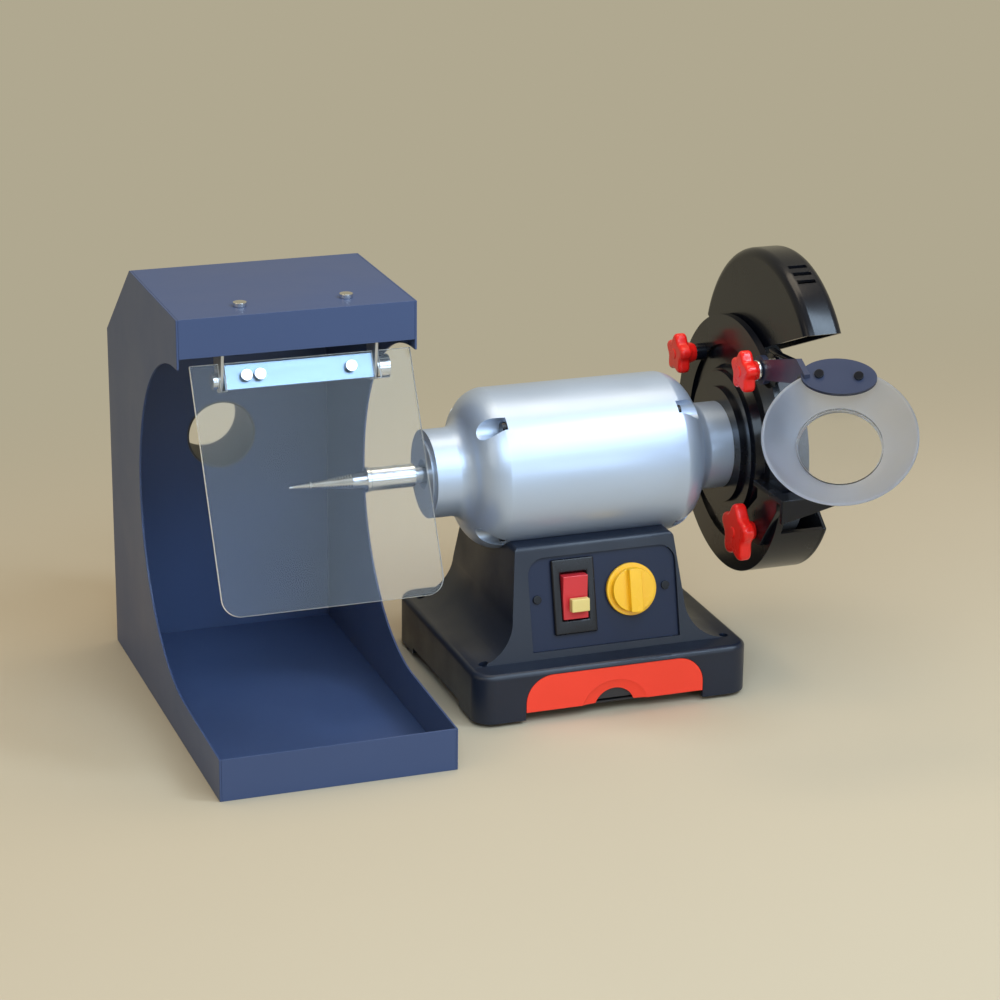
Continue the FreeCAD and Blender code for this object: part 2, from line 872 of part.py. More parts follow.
rocker_room = rocker_tall / 2 * sine(S.rocker_rest_tilt) + S.sliding_gap
rocker_deep = S.rocker_body_deep
bezel = panel_block(-S.switch_x, S.switch_up, plate_top, S.switch_plate_long, switch_plate_tall,
                    S.switch_plate_thick)
housing = panel_block(-S.switch_x, S.switch_up, plate_top - S.switch_deep, switch_long, switch_tall,
                      S.switch_deep)
well_deep = S.switch_plate_thick + rocker_deep + rocker_room
well = panel_block(-S.switch_x, S.switch_up, plate_top + S.switch_plate_thick - well_deep,
                   S.rocker_long + S.sliding_gap * 2, rocker_tall + rocker_room, well_deep + S.cut_overrun)
node("switch_body", cut(fuse(bezel, housing), well))

# The rocker turns about a line across the switch, level with the bezel's back
rocker_frame_out = plate_top
rocker_turn = PANEL[3] + S.rocker_rest_tilt
rocker_back = PANEL[1] + S.switch_up * cosine(PANEL[3]) - rocker_frame_out * sine(PANEL[3])
rocker_height = PANEL[2] + S.switch_up * sine(PANEL[3]) + rocker_frame_out * cosine(PANEL[3])
ROCKER = (-S.switch_x, rocker_back, rocker_height, rocker_turn)
rocker_half = rocker_tall / 2
rocker_top = S.switch_plate_thick + S.rocker_stand
rocker = slab("YZ_Plane", [
    (-rocker_half, -rocker_deep),
    (rocker_half, -rocker_deep),
    (rocker_half, rocker_top),
    (0, rocker_top - S.rocker_drop),
    (-rocker_half, rocker_top),
], S.rocker_long)
tilted(rocker, ROCKER, -S.rocker_long / 2, 0, 0)
key_up = -S.key_down
key_seat = rocker_top - S.rocker_drop / 2
slot = tilted(box(0, 0, 0, S.key_blade_long + S.sliding_gap, S.key_blade_tall + S.sliding_gap,
                  S.key_blade + S.key_stand),
              ROCKER, S.key_aside - (S.key_blade_long + S.sliding_gap) / 2,
              key_up - (S.key_blade_tall + S.sliding_gap) / 2, key_seat - S.key_blade)
node("switch_rocker", cut(rocker, slot))
key_head = tilted(box(0, 0, 0, S.key_long, S.key_tall, S.key_stand), ROCKER,
                  S.key_aside - S.key_long / 2, key_up - S.key_tall / 2, rocker_top)
blade_low = key_seat - S.key_blade + S.sliding_gap
key_blade = tilted(box(0, 0, 0, S.key_blade_long, S.key_blade_tall, rocker_top - blade_low), ROCKER,
                   S.key_aside - S.key_blade_long / 2, key_up - S.key_blade_tall / 2, blade_low)
node("switch_key", fuse(key_head, key_blade))

knob_low = plate_top + S.sliding_gap
knob_flange = panel_rod(S.knob_x, knob_up, knob_low, S.knob_radius, S.knob_flange_thick)
knob_disc = panel_rod(S.knob_x, knob_up, knob_low, knob_body_radius, S.knob_stand - S.knob_grip_stand / 2)
knob_grip = panel_block(S.knob_x, knob_up, knob_low, S.knob_grip_long, knob_body_radius * 2, S.knob_stand)
grip_round = panel_rod(S.knob_x, knob_up, knob_low, knob_body_radius, S.knob_stand)
pot_bore_deep = S.knob_stand - S.knob_flange_thick
pot_bore = panel_rod(S.knob_x, knob_up, knob_low - S.cut_overrun, S.pot_shaft_radius + S.seat_gap,
                     pot_bore_deep + S.cut_overrun)
node("speed_knob", cut(fuse(knob_flange, knob_disc, common(knob_grip, grip_round)), pot_bore))

pot_top = -front_wall - S.seat_gap
pot_body = panel_rod(S.knob_x, knob_up, pot_top - S.pot_body_deep, S.pot_body_radius, S.pot_body_deep)
pot_bush = panel_rod(S.knob_x, knob_up, pot_top, S.pot_bush_radius, plate_top - pot_top)
shaft_start = pot_top - S.pot_body_deep / 2
pot_shaft = panel_rod(S.knob_x, knob_up, shaft_start, S.pot_shaft_radius,
                      knob_low + pot_bore_deep - S.sliding_gap - shaft_start)
pot_hole = panel_rod(S.knob_x, knob_up, shaft_start - S.sliding_gap, S.pot_shaft_radius + S.running_gap,
                     plate_top - shaft_start + S.cut_overrun)
node("potentiometer_body", cut(fuse(pot_body, pot_bush), pot_hole))
node("potentiometer_shaft", pot_shaft)

# Speed board, run capacitor and cable gland
board_x = S.board_left
board_y = S.base_half_deep - S.sheet_wall - S.board_from_back
board_z = floor_top + S.board_part_tall / 2
board = box(board_x, board_y, board_z, S.board_long, S.board_deep, S.board_thick)
board_parts = [box(board_x + S.board_long * share, board_y + S.board_deep / 4, board_z + S.board_thick,
                   S.board_long / 6, S.board_deep / 2, S.board_part_tall) for share in BOARD_PART_SHARES]
standoffs = [rod(board_x + S.board_long * long_share, board_y + S.board_deep * deep_share, floor_top,
                 S.board_part_tall / 4, board_z - floor_top)
             for long_share in BOARD_FOOT_SHARES for deep_share in BOARD_FOOT_SHARES]
node("control_board", fuse(board, *board_parts, *standoffs))
capacitor_z = floor_top + S.capacitor_radius
node("run_capacitor", rod_x(-S.capacitor_left, board_y + S.capacitor_radius, capacitor_z,
                            S.capacitor_radius, S.capacitor_long))
gland_y = S.base_half_deep
gland_head = rod_y(gland_x, gland_y, gland_z, S.gland_radius, S.gland_long)
gland_neck = rod_y(gland_x, gland_y - S.sheet_wall * 2, gland_z, S.gland_radius / 2 + S.gland_bore / 2,
                   S.sheet_wall * 2)
gland_nut = rod_y(gland_x, gland_y - S.sheet_wall * 2, gland_z, S.gland_radius, S.sheet_wall)
gland_cut = rod_y(gland_x, gland_y - S.sheet_wall * 2 - S.cut_overrun, gland_z, S.gland_bore,
                  S.gland_long + S.sheet_wall * 2 + S.cut_overrun * 2)
node("cable_gland", cut(fuse(gland_head, gland_neck, gland_nut), gland_cut))

# Drawer on two angle runners
runner_foot_top = floor_top + S.plate_thick
tray_low = runner_foot_top + S.sliding_gap
tray_front = front_y + S.drawer_front_thick
tray = box(-S.tray_half_long, tray_front, tray_low, S.tray_half_long * 2, S.tray_deep, S.tray_tall)
tray_room = box(-S.tray_half_long + S.tray_wall, tray_front + S.tray_wall, tray_low + S.tray_wall,
                (S.tray_half_long - S.tray_wall) * 2, S.tray_deep - S.tray_wall * 2, S.tray_tall)
node("drawer_tray", cut(tray, tray_room))
notch_top = S.drawer_low + S.notch_tall
notch_slant = S.drawer_front_thick
front = slab("XZ_Plane", [
    (-S.drawer_half_long, S.drawer_low),
    (-S.notch_half_long, S.drawer_low),
    (-S.notch_half_long + notch_slant, notch_top),
    (S.notch_half_long - notch_slant, notch_top),
    (S.notch_half_long, S.drawer_low),
    (S.drawer_half_long, S.drawer_low),
    (S.drawer_half_long, S.drawer_high, S.drawer_round),
    (-S.drawer_half_long, S.drawer_high, S.drawer_round),
], S.drawer_front_thick)
place(front, 0, tray_front, 0)
node("drawer_front", front)

runner_y = tray_front + S.sheet_wall
runner_deep = S.tray_deep
runners = []
for way in (-1, 1):
    rail_x = S.tray_half_long + S.sliding_gap
    foot_x = S.tray_half_long - S.runner_tall
    rail_start = rail_x if way > 0 else -rail_x - S.runner_thick
    foot_start = foot_x if way > 0 else -rail_x
    rail = box(rail_start, runner_y, floor_top, S.runner_thick, runner_deep, S.runner_tall)
    foot = box(foot_start, runner_y, floor_top, rail_x - foot_x, runner_deep, S.plate_thick)
    runners.append(fuse(rail, foot))
node("drawer_runners", together(*runners))


# Motor: barrel, two end bells, tie bolts, stator

def ring(x, outer, inner, long):
    return cut(axis_rod(x, outer, long), axis_rod(x - S.cut_overrun, inner, long + S.cut_overrun * 2))


def tie_rods(x, radius, long):
    rods = []
    for across in (-1, 1):
        for rise in (-1, 1):
            y, z = at_angle(S.barrel_radius - S.tie_inset, S.tie_angle)
            rods.append(rod_x(x, y * across, S.axis_height + z * rise, radius, long))
    return rods


barrel = ring(-S.barrel_half_long, S.barrel_radius, S.barrel_radius - S.sheet_wall, S.barrel_half_long * 2)
mount_top = S.axis_height - S.barrel_radius + S.sheet_wall * 2
mount_hole_radius = S.mount_bolt_radius + S.seat_gap
node("motor_barrel", cut(barrel, *mount_rods(cavity_top, mount_hole_radius, S.barrel_radius / 2)))
mount_heads = mount_rods(cavity_top - S.mount_head_tall, S.mount_head_radius, S.mount_head_tall)
mount_shanks = mount_rods(cavity_top - S.mount_head_tall, S.mount_bolt_radius,
                          mount_top - cavity_top + S.mount_head_tall)
node("mount_bolts", together(*[fuse(head, shank) for head, shank in zip(mount_heads, mount_shanks)]))

bell_lip_radius = S.barrel_radius - S.bell_wall
shoulder_radius = S.barrel_radius * SHOULDER_SHARE
core_wall = S.bell_wall * BELL_CORE_SHARE
bell = turned([
    (S.barrel_half_long, bell_lip_radius),
    (S.bell_seat + S.bell_neck_arc / 2, bell_lip_radius),
    (S.bell_shoulder_x, shoulder_radius - core_wall),
    (S.bearing_start, S.bell_neck_radius - core_wall),
    (S.bearing_start, S.bearing_radius + S.seat_gap),
    (S.bearing_start + S.bearing_wide, S.bearing_radius + S.seat_gap),
    (S.bearing_start + S.bearing_wide, S.bell_bore),
    (S.bell_end, S.bell_bore),
    (S.bell_end, S.bell_neck_radius),
    (S.bell_neck_x, S.bell_neck_radius),
    (S.bell_shoulder_x, shoulder_radius),
    (S.bell_seat, S.barrel_radius),
    (S.barrel_half_long, S.barrel_radius),
], arcs={9: (S.bell_neck_arc, -1), 10: (S.bell_shoulder_arc, 1)})
pocket_long = S.bell_end - S.tie_floor
outside = turned([
    (S.barrel_half_long, as_size(0)),
    (S.bell_end, as_size(0)),
    (S.bell_end, S.bell_neck_radius),
    (S.bell_neck_x, S.bell_neck_radius),
    (S.bell_shoulder_x, shoulder_radius),
    (S.bell_seat, S.barrel_radius),
    (S.barrel_half_long, S.barrel_radius),
], arcs={3: (S.bell_neck_arc, -1), 4: (S.bell_shoulder_arc, 1)})
boss_radius = S.tie_pocket_radius + S.tie_boss_wall
tie_bosses = [common(boss, outside) for boss in tie_rods(S.barrel_half_long, boss_radius, pocket_long)]
bell = cut(fuse(bell, *tie_bosses), *tie_rods(S.barrel_half_long - S.cut_overrun, S.tie_radius + S.seat_gap, pocket_long),
           *tie_rods(S.tie_floor, S.tie_pocket_radius, pocket_long))
left_bell = mirrored(bell, X_AXIS)
node("left_end_bell", left_bell)


def guard_screw_rods(x, radius, long):
    rods = []
    for across in (-1, 1):
        for rise in (-1, 1):
            y, z = at_angle(S.guard_screw_at, as_size(RIGHT_ANGLE / 2))
            rods.append(rod_x(x, y * across, S.axis_height + z * rise, radius, long))
    return rods


screw_start = S.bell_end - S.guard_screw_deep
node("right_end_bell", cut(bell, *guard_screw_rods(screw_start, S.guard_screw_radius + S.seat_gap, pocket_long)))

tie_heads = []
for x in (S.tie_floor, -S.tie_floor - S.tie_head_long):
    tie_heads.append(tie_rods(x, S.tie_head_radius, S.tie_head_long))
tie_shanks = tie_rods(-S.tie_floor, S.tie_radius, S.tie_floor * 2)
node("tie_bolts", together(*[fuse(*parts) for parts in zip(tie_shanks, *tie_heads)]))

stator_outer = S.barrel_radius - S.sheet_wall - S.stator_margin
stator_inner = S.barrel_radius * STATOR_BORE_SHARE
stator = ring(-S.stator_half_long, stator_outer, stator_inner, S.stator_half_long * 2)
stator_seat = S.barrel_radius - S.sheet_wall - S.seat_gap
stator_keys = common(ring(-S.stator_half_long, stator_seat, stator_outer - S.sheet_wall, S.stator_half_long * 2),
                     box(-S.stator_half_long, -S.stator_key_half, S.axis_height - stator_seat,
                         S.stator_half_long * 2, S.stator_key_half * 2, stator_seat * 2))
node("stator_core", fuse(stator, stator_keys))
windings = [ring(x, stator_outer - S.winding_inset, stator_inner + S.winding_inset, S.winding_long)
            for x in (S.stator_half_long, -S.stator_half_long - S.winding_long)]
node("stator_windings", together(*windings))

race_radius = (S.bearing_radius + S.shaft_radius) / 2
bearing_places = (S.bearing_start, -S.bearing_start - S.bearing_wide)
node("bearing_outer_rings", together(*[
    ring(x, S.bearing_radius, race_radius + S.bearing_race, S.bearing_wide) for x in bearing_places]))
node("bearing_inner_rings", together(*[
    ring(x, race_radius - S.bearing_race, S.shaft_radius + S.seat_gap, S.bearing_wide) for x in bearing_places]))
node("bearing_cover", ring(-S.bell_end - S.cover_thick, S.cover_radius, S.bell_bore, S.cover_thick))

# Rotor: stepped shaft, core, spindle, wheel
wheel_end = S.wheel_x + S.wheel_wide
nut_start = wheel_end + S.flange_thick
shaft_right = nut_start + S.nut_thick + S.shaft_end_past
step_left = S.bearing_start + S.bearing_wide + S.sheet_wall
step_right = S.wheel_x - S.flange_thick
shaft_left = S.spindle_start + S.spindle_bore_deep - S.sliding_gap
node("motor_shaft", turned([
    (-shaft_left, 0),
    (shaft_right, 0),
    (shaft_right, S.wheel_bore),
    (step_right, S.wheel_bore),
    (step_right, S.shaft_radius),
    (-step_left, S.shaft_radius),
    (-step_left, S.spindle_bore),
    (-shaft_left, S.spindle_bore),
]))
rotor_radius = stator_inner - S.rotor_gap
node("rotor_core", ring(-S.stator_half_long, rotor_radius, S.shaft_radius + S.seat_gap, S.stator_half_long * 2))

bore_radius = S.spindle_bore + S.seat_gap
thread_start = S.taper_smooth_end
taper_run = S.spindle_tip - S.spindle_body_end
taper_drop = S.taper_base_radius - S.tip_radius


def taper_radius(x):
    return S.taper_base_radius - taper_drop * (x - S.spindle_body_end) / taper_run


spindle_points = [
    (-S.spindle_start, bore_radius),
    (-S.spindle_start, S.spindle_radius),
    (-S.spindle_body_end, S.spindle_radius),
    (-S.spindle_body_end, S.spindle_ring_radius),
    (-S.spindle_body_end - S.spindle_ring_long, S.spindle_ring_radius),
    (-S.spindle_body_end - S.spindle_ring_long, taper_radius(S.spindle_body_end + S.spindle_ring_long)),
    (-S.taper_smooth_end, taper_radius(S.taper_smooth_end)),
]
thread_step = (S.spindle_tip - S.taper_smooth_end) / (THREAD_COUNT + 1)
for number in range(THREAD_COUNT):
    low_x = S.taper_smooth_end + thread_step * (number + HALF_SHARE)
    high_x = S.taper_smooth_end + thread_step * (number + 1)
    spindle_points.append((-low_x, taper_radius(low_x) - S.thread_depth))
    spindle_points.append((-high_x, taper_radius(high_x)))
bore_end = S.spindle_start + S.spindle_bore_deep
spindle_points += [
    (-S.spindle_tip, S.tip_radius / 2),
    (-S.spindle_tip, 0),
    (-bore_end, 0),
    (-bore_end, bore_radius),
]
spindle = turned(spindle_points)
set_screw_x = -(S.spindle_start + S.spindle_bore_deep / 2)
screw_long = S.spindle_radius - S.spindle_bore
set_screw_hole = rod(set_screw_x, 0, S.axis_height, S.set_screw_radius + S.seat_gap, S.spindle_radius * 2)
node("taper_spindle", cut(spindle, set_screw_hole))
node("spindle_set_screw", rod(set_screw_x, 0, S.axis_height + S.spindle_bore + S.seat_gap, S.set_screw_radius,
                              screw_long))

wheel_hole = S.wheel_bore + S.seat_gap
node("grinding_wheel", ring(S.wheel_x, S.wheel_radius, wheel_hole, S.wheel_wide))
flange_places = (S.wheel_x - S.flange_thick, wheel_end)
node("wheel_flanges", together(*[ring(x, S.flange_radius, wheel_hole, S.flange_thick) for x in flange_places]))
nut = hexagon(nut_start, 0, S.axis_height, S.nut_across, S.nut_thick)
node("wheel_nut", cut(nut, axis_rod(nut_start - S.cut_overrun, wheel_hole, S.nut_thick + S.cut_overrun * 2)))


# Wheel guard: stepped disc with a rim round the lower part, and a flat cover

def rise(z):
    return S.axis_height + z


FLIP = (S.flip_y, rise(S.flip_rise))
EYE = (-S.eye_y, rise(S.eye_rise))
REST = (-S.rest_y, rise(-S.rest_drop))
wall_x = S.guard_band_x + S.guard_wall * 2
step_x = S.guard_step_x + S.guard_wall
disc = turned([
    (S.guard_boss_x + S.guard_boss_wall, S.guard_hub_bore),
    (S.guard_boss_x + S.guard_boss_wall, S.guard_boss_radius - S.guard_wall * 2),
    (step_x, S.guard_plate_radius - S.guard_wall),
    (wall_x, S.guard_plate_radius + S.guard_wall),
    (wall_x, S.guard_radius),
    (S.guard_band_x, S.guard_radius),
    (S.guard_band_x, S.guard_recess_radius),
    (S.guard_recess_x, S.guard_recess_radius),
    (S.guard_recess_x, S.guard_plate_radius + S.guard_slope),
    (S.guard_step_x, S.guard_plate_radius + S.guard_wall / 2),
    (S.guard_step_x, S.guard_plate_radius),
    (S.guard_plate_x, S.guard_plate_radius),
    (S.guard_plate_x, S.guard_boss_radius),
    (S.guard_boss_x, S.guard_boss_radius),
    (S.guard_boss_x, S.guard_hub_bore),
])
rim_front = RIGHT_ANGLE * 2 + S.rim_front_drop
rim_middle = (rim_front + S.rim_rear_rise) / 2
far = S.guard_radius * 2


def mouth_prism(x, long, near):
    points = [at_angle(near, S.rim_rear_rise), at_angle(far, S.rim_rear_rise), at_angle(far * 2, rim_middle),
              at_angle(far, rim_front), at_angle(near, rim_front)]
    return place(slab("YZ_Plane", points, long), x, 0, S.axis_height)


rim_long = S.rim_end - wall_x + S.sheet_wall
rim = ring(S.rim_end - rim_long, S.guard_radius, S.guard_radius - S.guard_wall, rim_long)
rim = cut(rim, mouth_prism(S.rim_end - rim_long - S.cut_overrun, rim_long + S.cut_overrun * 2, S.sheet_wall))
lug_x = wall_x - S.guard_wall
lug = rod_x(lug_x, EYE[0], EYE[1], S.guard_lug_radius, S.guard_wall)
nut_room = rod_x(S.guard_band_x - S.cut_overrun, EYE[0], EYE[1], S.eye_nut_across,
                 lug_x - S.guard_band_x + S.cut_overrun)


def stud_rods(x, radius, long):
    return [rod_x(x, place_of[0], place_of[1], radius, long) for place_of in (FLIP, EYE, REST)]


disc_start = S.guard_boss_x - S.cut_overrun
node("guard_inner", cut(fuse(disc, rim, lug), nut_room,
                        *stud_rods(disc_start, S.stud_radius + S.seat_gap, S.guard_radius),
                        *guard_screw_rods(disc_start, S.guard_screw_radius + S.seat_gap, S.guard_radius)))
cover_thick = S.guard_cover_end - S.rim_end
cover = cut(axis_rod(S.rim_end, S.guard_radius, cover_thick),
            mouth_prism(S.rim_end - S.cut_overrun, cover_thick + S.cut_overrun * 2, S.guard_radius))
node("guard_outer", cover)
disc_back = S.guard_boss_x + S.guard_boss_wall
screw_long = disc_back - screw_start
node("guard_screws", together(*[fuse(head, shank) for head, shank in zip(
    guard_screw_rods(disc_back, S.guard_screw_head, S.guard_screw_radius),
    guard_screw_rods(screw_start, S.guard_screw_radius, screw_long))]))


# Star knobs on three fixed studs

def star_knob(spot, end_x, lobe_at, lobe_radius):
    y, z = spot
    start_x = end_x - S.star_neck_long - S.star_thick
    parts = [rod_x(start_x, y, z, lobe_at - lobe_radius / 3, S.star_thick),
             rod_x(start_x, y, z, S.star_neck_radius, S.star_thick + S.star_neck_long)]
    for number in range(LOBE_COUNT):
        aside, above = at_angle(lobe_at, as_size(RIGHT_ANGLE + 360 / LOBE_COUNT * number))
        parts.append(rod_x(start_x, y + aside, z + above, lobe_radius, S.star_thick))
    bore = rod_x(end_x - S.star_blind, y, z, S.stud_radius + S.running_gap, S.star_blind + S.cut_overrun)
    return cut(fuse(*parts), bore)


flip_wall_end = S.flip_inner_x + S.flip_wall
flip_knob_end = S.guard_step_x - S.guard_wall * 2
eye_arm_end_x = S.eye_arm_start + S.eye_arm_thick
rest_plate_end = S.guard_band_x - S.sliding_gap / 2
rest_plate_start = rest_plate_end - S.rest_thick
eye_knob_end = S.eye_arm_start - S.sliding_gap
rest_knob_end = rest_plate_start - S.sliding_gap
node("guard_knob", star_knob(FLIP, flip_knob_end, S.star_lobe_at, S.star_lobe_radius))
node("eye_shield_knob", star_knob(EYE, eye_knob_end, S.star_lobe_at, S.star_lobe_radius))
node("tool_rest_knob", star_knob(REST, rest_knob_end, S.large_lobe_at, S.large_lobe_radius))

studs = []
stud_ends = (flip_wall_end + S.sliding_gap, wall_x, wall_x)
for spot, knob_end, stud_end in zip((FLIP, EYE, REST), (flip_knob_end, eye_knob_end, rest_knob_end), stud_ends):
    stud_start = knob_end - S.star_blind + S.sliding_gap
    studs.append(rod_x(stud_start, spot[0], spot[1], S.stud_radius, stud_end - stud_start))
shoulder_start = flip_knob_end + S.sliding_gap
flip_shoulder = rod_x(shoulder_start, FLIP[0], FLIP[1], S.star_neck_radius, S.guard_recess_x - shoulder_start)
studs[0] = fuse(studs[0], cut(flip_shoulder, axis_rod(S.guard_band_x, S.guard_radius, S.guard_wall * 2)))
node("clamp_bolts", together(*studs))
eye_nut = hexagon(eye_arm_end_x + S.sliding_gap, EYE[0], EYE[1], S.eye_nut_across,
                  lug_x - eye_arm_end_x - S.sliding_gap)
node("eye_shield_nut", cut(eye_nut, rod_x(eye_arm_end_x, EYE[0], EYE[1], S.stud_radius + S.seat_gap,
                                          S.guard_wall * 4)))


# Flip-up guard, drawn open: its middle is the axis turned back about the flip pivot

flip_back = -S.flip_open_angle
flip_mid_y = S.flip_y - (S.flip_y * cosine(flip_back) - S.flip_rise * sine(flip_back))
flip_mid_rise = S.flip_rise - (S.flip_y * sine(flip_back) + S.flip_rise * cosine(flip_back))
flip_mid_z = rise(flip_mid_rise)


def flip_rod(x, radius, long):
    return rod_x(x, flip_mid_y, flip_mid_z, radius, long)


flip_long = S.flip_outer_x - S.flip_inner_x
flip_body = cut(flip_rod(S.flip_inner_x, S.flip_outer_radius, flip_long),
                flip_rod(flip_wall_end, S.flip_outer_radius - S.flip_wall, flip_long - S.flip_wall * 2))
flip_half = (S.flip_high_angle + S.flip_low_angle) / 2
tip_y, tip_z = at_angle(S.flip_outer_radius, S.flip_high_angle)
chord_y, chord_z = cosine(S.flip_chord_angle), -sine(S.flip_chord_angle)
back_slope = tangent(S.flip_low_angle)
chord_long = (tip_z - tip_y * back_slope) / (chord_y * back_slope - chord_z)
flip_corner = (tip_y + chord_long * chord_y, tip_z + chord_long * chord_z)
sector = slab("YZ_Plane", [
    flip_corner,
    at_angle(far, S.flip_low_angle),
    at_angle(far * 2, flip_half),
    (tip_y - far * chord_y, tip_z - far * chord_z),
], flip_long + S.cut_overrun * 2)
place(sector, S.flip_inner_x - S.cut_overrun, flip_mid_y, flip_mid_z)
flip_body = common(flip_body, sector)
ear_outer = at_angle(S.flip_outer_radius - S.flip_ear_inset, S.flip_low_angle + S.flip_wall)
ear_out_y = S.flip_y - flip_mid_y
ear_out_z = S.flip_rise - flip_mid_rise
web = slab("YZ_Plane", [
    flip_corner,
    (ear_out_y - S.flip_ear_radius, ear_out_z),
    (ear_out_y + S.flip_ear_radius, ear_out_z),
    ear_outer,
], S.flip_wall)
place(web, S.flip_inner_x, flip_mid_y, flip_mid_z)
ear = rod_x(S.flip_inner_x, FLIP[0], FLIP[1], S.flip_ear_radius, S.flip_wall)
ear_hole = rod_x(S.flip_inner_x - S.cut_overrun, FLIP[0], FLIP[1], S.stud_radius + S.running_gap,
                 S.flip_wall + S.cut_overrun * 2)
vents = []
vent_x = (S.flip_inner_x + S.flip_outer_x - S.vent_long) / 2
vent_deep = S.flip_wall + S.cut_overrun * 2
for number in range(VENT_COUNT):
    turn = S.vent_angle + S.vent_step * number
    aside, above = at_angle(S.flip_outer_radius - S.flip_wall - S.cut_overrun, turn)
    slit = box(0, 0, 0, S.vent_long, S.vent_wide, vent_deep)
    vents.append(place(slit, vent_x, flip_mid_y + aside, flip_mid_z + above, turn - RIGHT_ANGLE))
node("upper_guard", cut(fuse(flip_body, web, ear), ear_hole, *vents))

# Eye shield: arm and oval plate, dished ring, clear lens
LENS = (as_size(0), as_size(0), as_size(0), S.lens_tilt)


def in_lens(item, x, up, out):
    leaning = together(tilted(item, LENS, x, up, out))
    return place(leaning, S.lens_x, -S.lens_y, rise(S.lens_rise), -S.lens_swing, Z_AXIS)


plate_ends = S.lens_plate_wide / 2
plate_half = S.lens_plate_long / 2 - plate_ends
plate_shift = -S.lens_plate_aside
lens_plate = slab("XY_Plane", [
    (-plate_half, -plate_ends),
    (plate_half, -plate_ends),
    (plate_half + plate_ends, 0),
    (plate_half, plate_ends),
    (-plate_half, plate_ends),
    (-plate_half - plate_ends, 0),
], S.lens_thick, arcs={1: (plate_ends, 1), 2: (plate_ends, 1), 4: (plate_ends, 1), 5: (plate_ends, 1)})
lens_plate = in_lens(lens_plate, plate_shift, S.lens_plate_up, S.seat_gap)
plate_reach = (S.lens_plate_aside + plate_half) * sine(S.lens_swing)
plate_y = -S.lens_y + S.lens_plate_up * cosine(S.lens_tilt) * cosine(S.lens_swing) + plate_reach
plate_z = S.lens_rise + S.lens_plate_up * sine(S.lens_tilt)
arm_half = S.eye_arm_wide / 2
arm = slab("YZ_Plane", [
    (EYE[0], S.eye_rise - arm_half),
    (EYE[0], S.eye_rise + arm_half),
    (plate_y + plate_ends, plate_z + arm_half + S.lens_thick),
    (plate_y, plate_z + S.lens_thick),
    (plate_y, plate_z - S.lens_thick),
    (plate_y + plate_ends, plate_z - arm_half),
], S.eye_arm_thick)
place(arm, S.eye_arm_start, 0, S.axis_height)
arm_ear = rod_x(S.eye_arm_start, EYE[0], EYE[1], arm_half + S.lens_thick, S.eye_arm_thick)
arm_hole = rod_x(S.eye_arm_start - S.cut_overrun, EYE[0], EYE[1], S.stud_radius + S.running_gap,
                 S.eye_arm_thick + S.cut_overrun * 2)
ring_clear = in_lens(rod(0, 0, 0, S.lens_ring_radius + S.lens_thick, S.lens_deep * 2), 0, 0, -S.lens_deep * 2)


def lens_screw_rods(out, radius, long):
    return [in_lens(rod(0, 0, 0, radius, long), plate_shift + S.lens_screw_pitch / 2 * way, S.lens_screw_up, out)
            for way in (-1, 1)]


node("eye_shield_arm", cut(fuse(lens_plate, cut(fuse(arm, arm_ear), ring_clear)), arm_hole,
                           *lens_screw_rods(-S.lens_deep, S.lens_screw_radius + S.seat_gap, S.lens_deep * 2)))
ring_lip = S.lens_ring_radius - S.lens_lip_wide
dish_out = S.lens_radius + S.lens_seat
lens_ring = turned([
    (-S.lens_deep, S.lens_radius - S.lens_seat),
    (-S.lens_deep, dish_out + S.lens_seat),
    (-S.lens_lip_thick, S.lens_ring_radius),
    (0, S.lens_ring_radius),
    (0, ring_lip),
    (-S.lens_deep + S.lens_lip_thick + S.lens_thick, dish_out),
    (-S.lens_deep + S.lens_lip_thick, dish_out),
    (-S.lens_deep + S.lens_lip_thick, S.lens_radius - S.lens_seat),
])
place(lens_ring, 0, 0, 0, -RIGHT_ANGLE, Y_AXIS)
dish = in_lens(together(lens_ring), 0, 0, 0)
lip_blocks = lens_screw_rods(-S.lens_deep / 2, S.lens_screw_radius * 2, S.lens_deep / 2)
node("lens_ring", cut(fuse(dish, *lip_blocks),
                      *lens_screw_rods(-S.lens_deep, S.lens_screw_radius + S.seat_gap, S.lens_deep * 2)))
lens = in_lens(rod(0, 0, 0, dish_out - S.seat_gap, S.lens_thick), 0, 0, -S.lens_deep + S.lens_lip_thick + S.seat_gap)
node("lens_disc", lens)
plate_face = S.seat_gap + S.lens_thick
lens_heads = lens_screw_rods(plate_face, S.lens_screw_head, S.lens_screw_radius)
lens_shanks = lens_screw_rods(-S.lens_deep / 2, S.lens_screw_radius, plate_face + S.lens_deep / 2)
node("lens_screws", together(*[fuse(head, shank) for head, shank in zip(lens_heads, lens_shanks)]))

# Spark guard: a small plate on the lug
spark_foot = S.eye_rise + S.guard_lug_radius
spark_tip = spark_foot + S.guard_wall
node("spark_guard", place(slab("YZ_Plane", [
    (-S.spark_back_y, spark_foot + S.seat_gap),
    (-S.spark_back_y, spark_foot + S.spark_thick),
    (-S.spark_middle_y, spark_foot + S.spark_thick),
    (-S.spark_front_y, spark_tip + S.spark_thick),
    (-S.spark_front_y, spark_tip),
    (-S.spark_middle_y, spark_foot + S.seat_gap),
], S.spark_wide), lug_x, 0, S.axis_height))

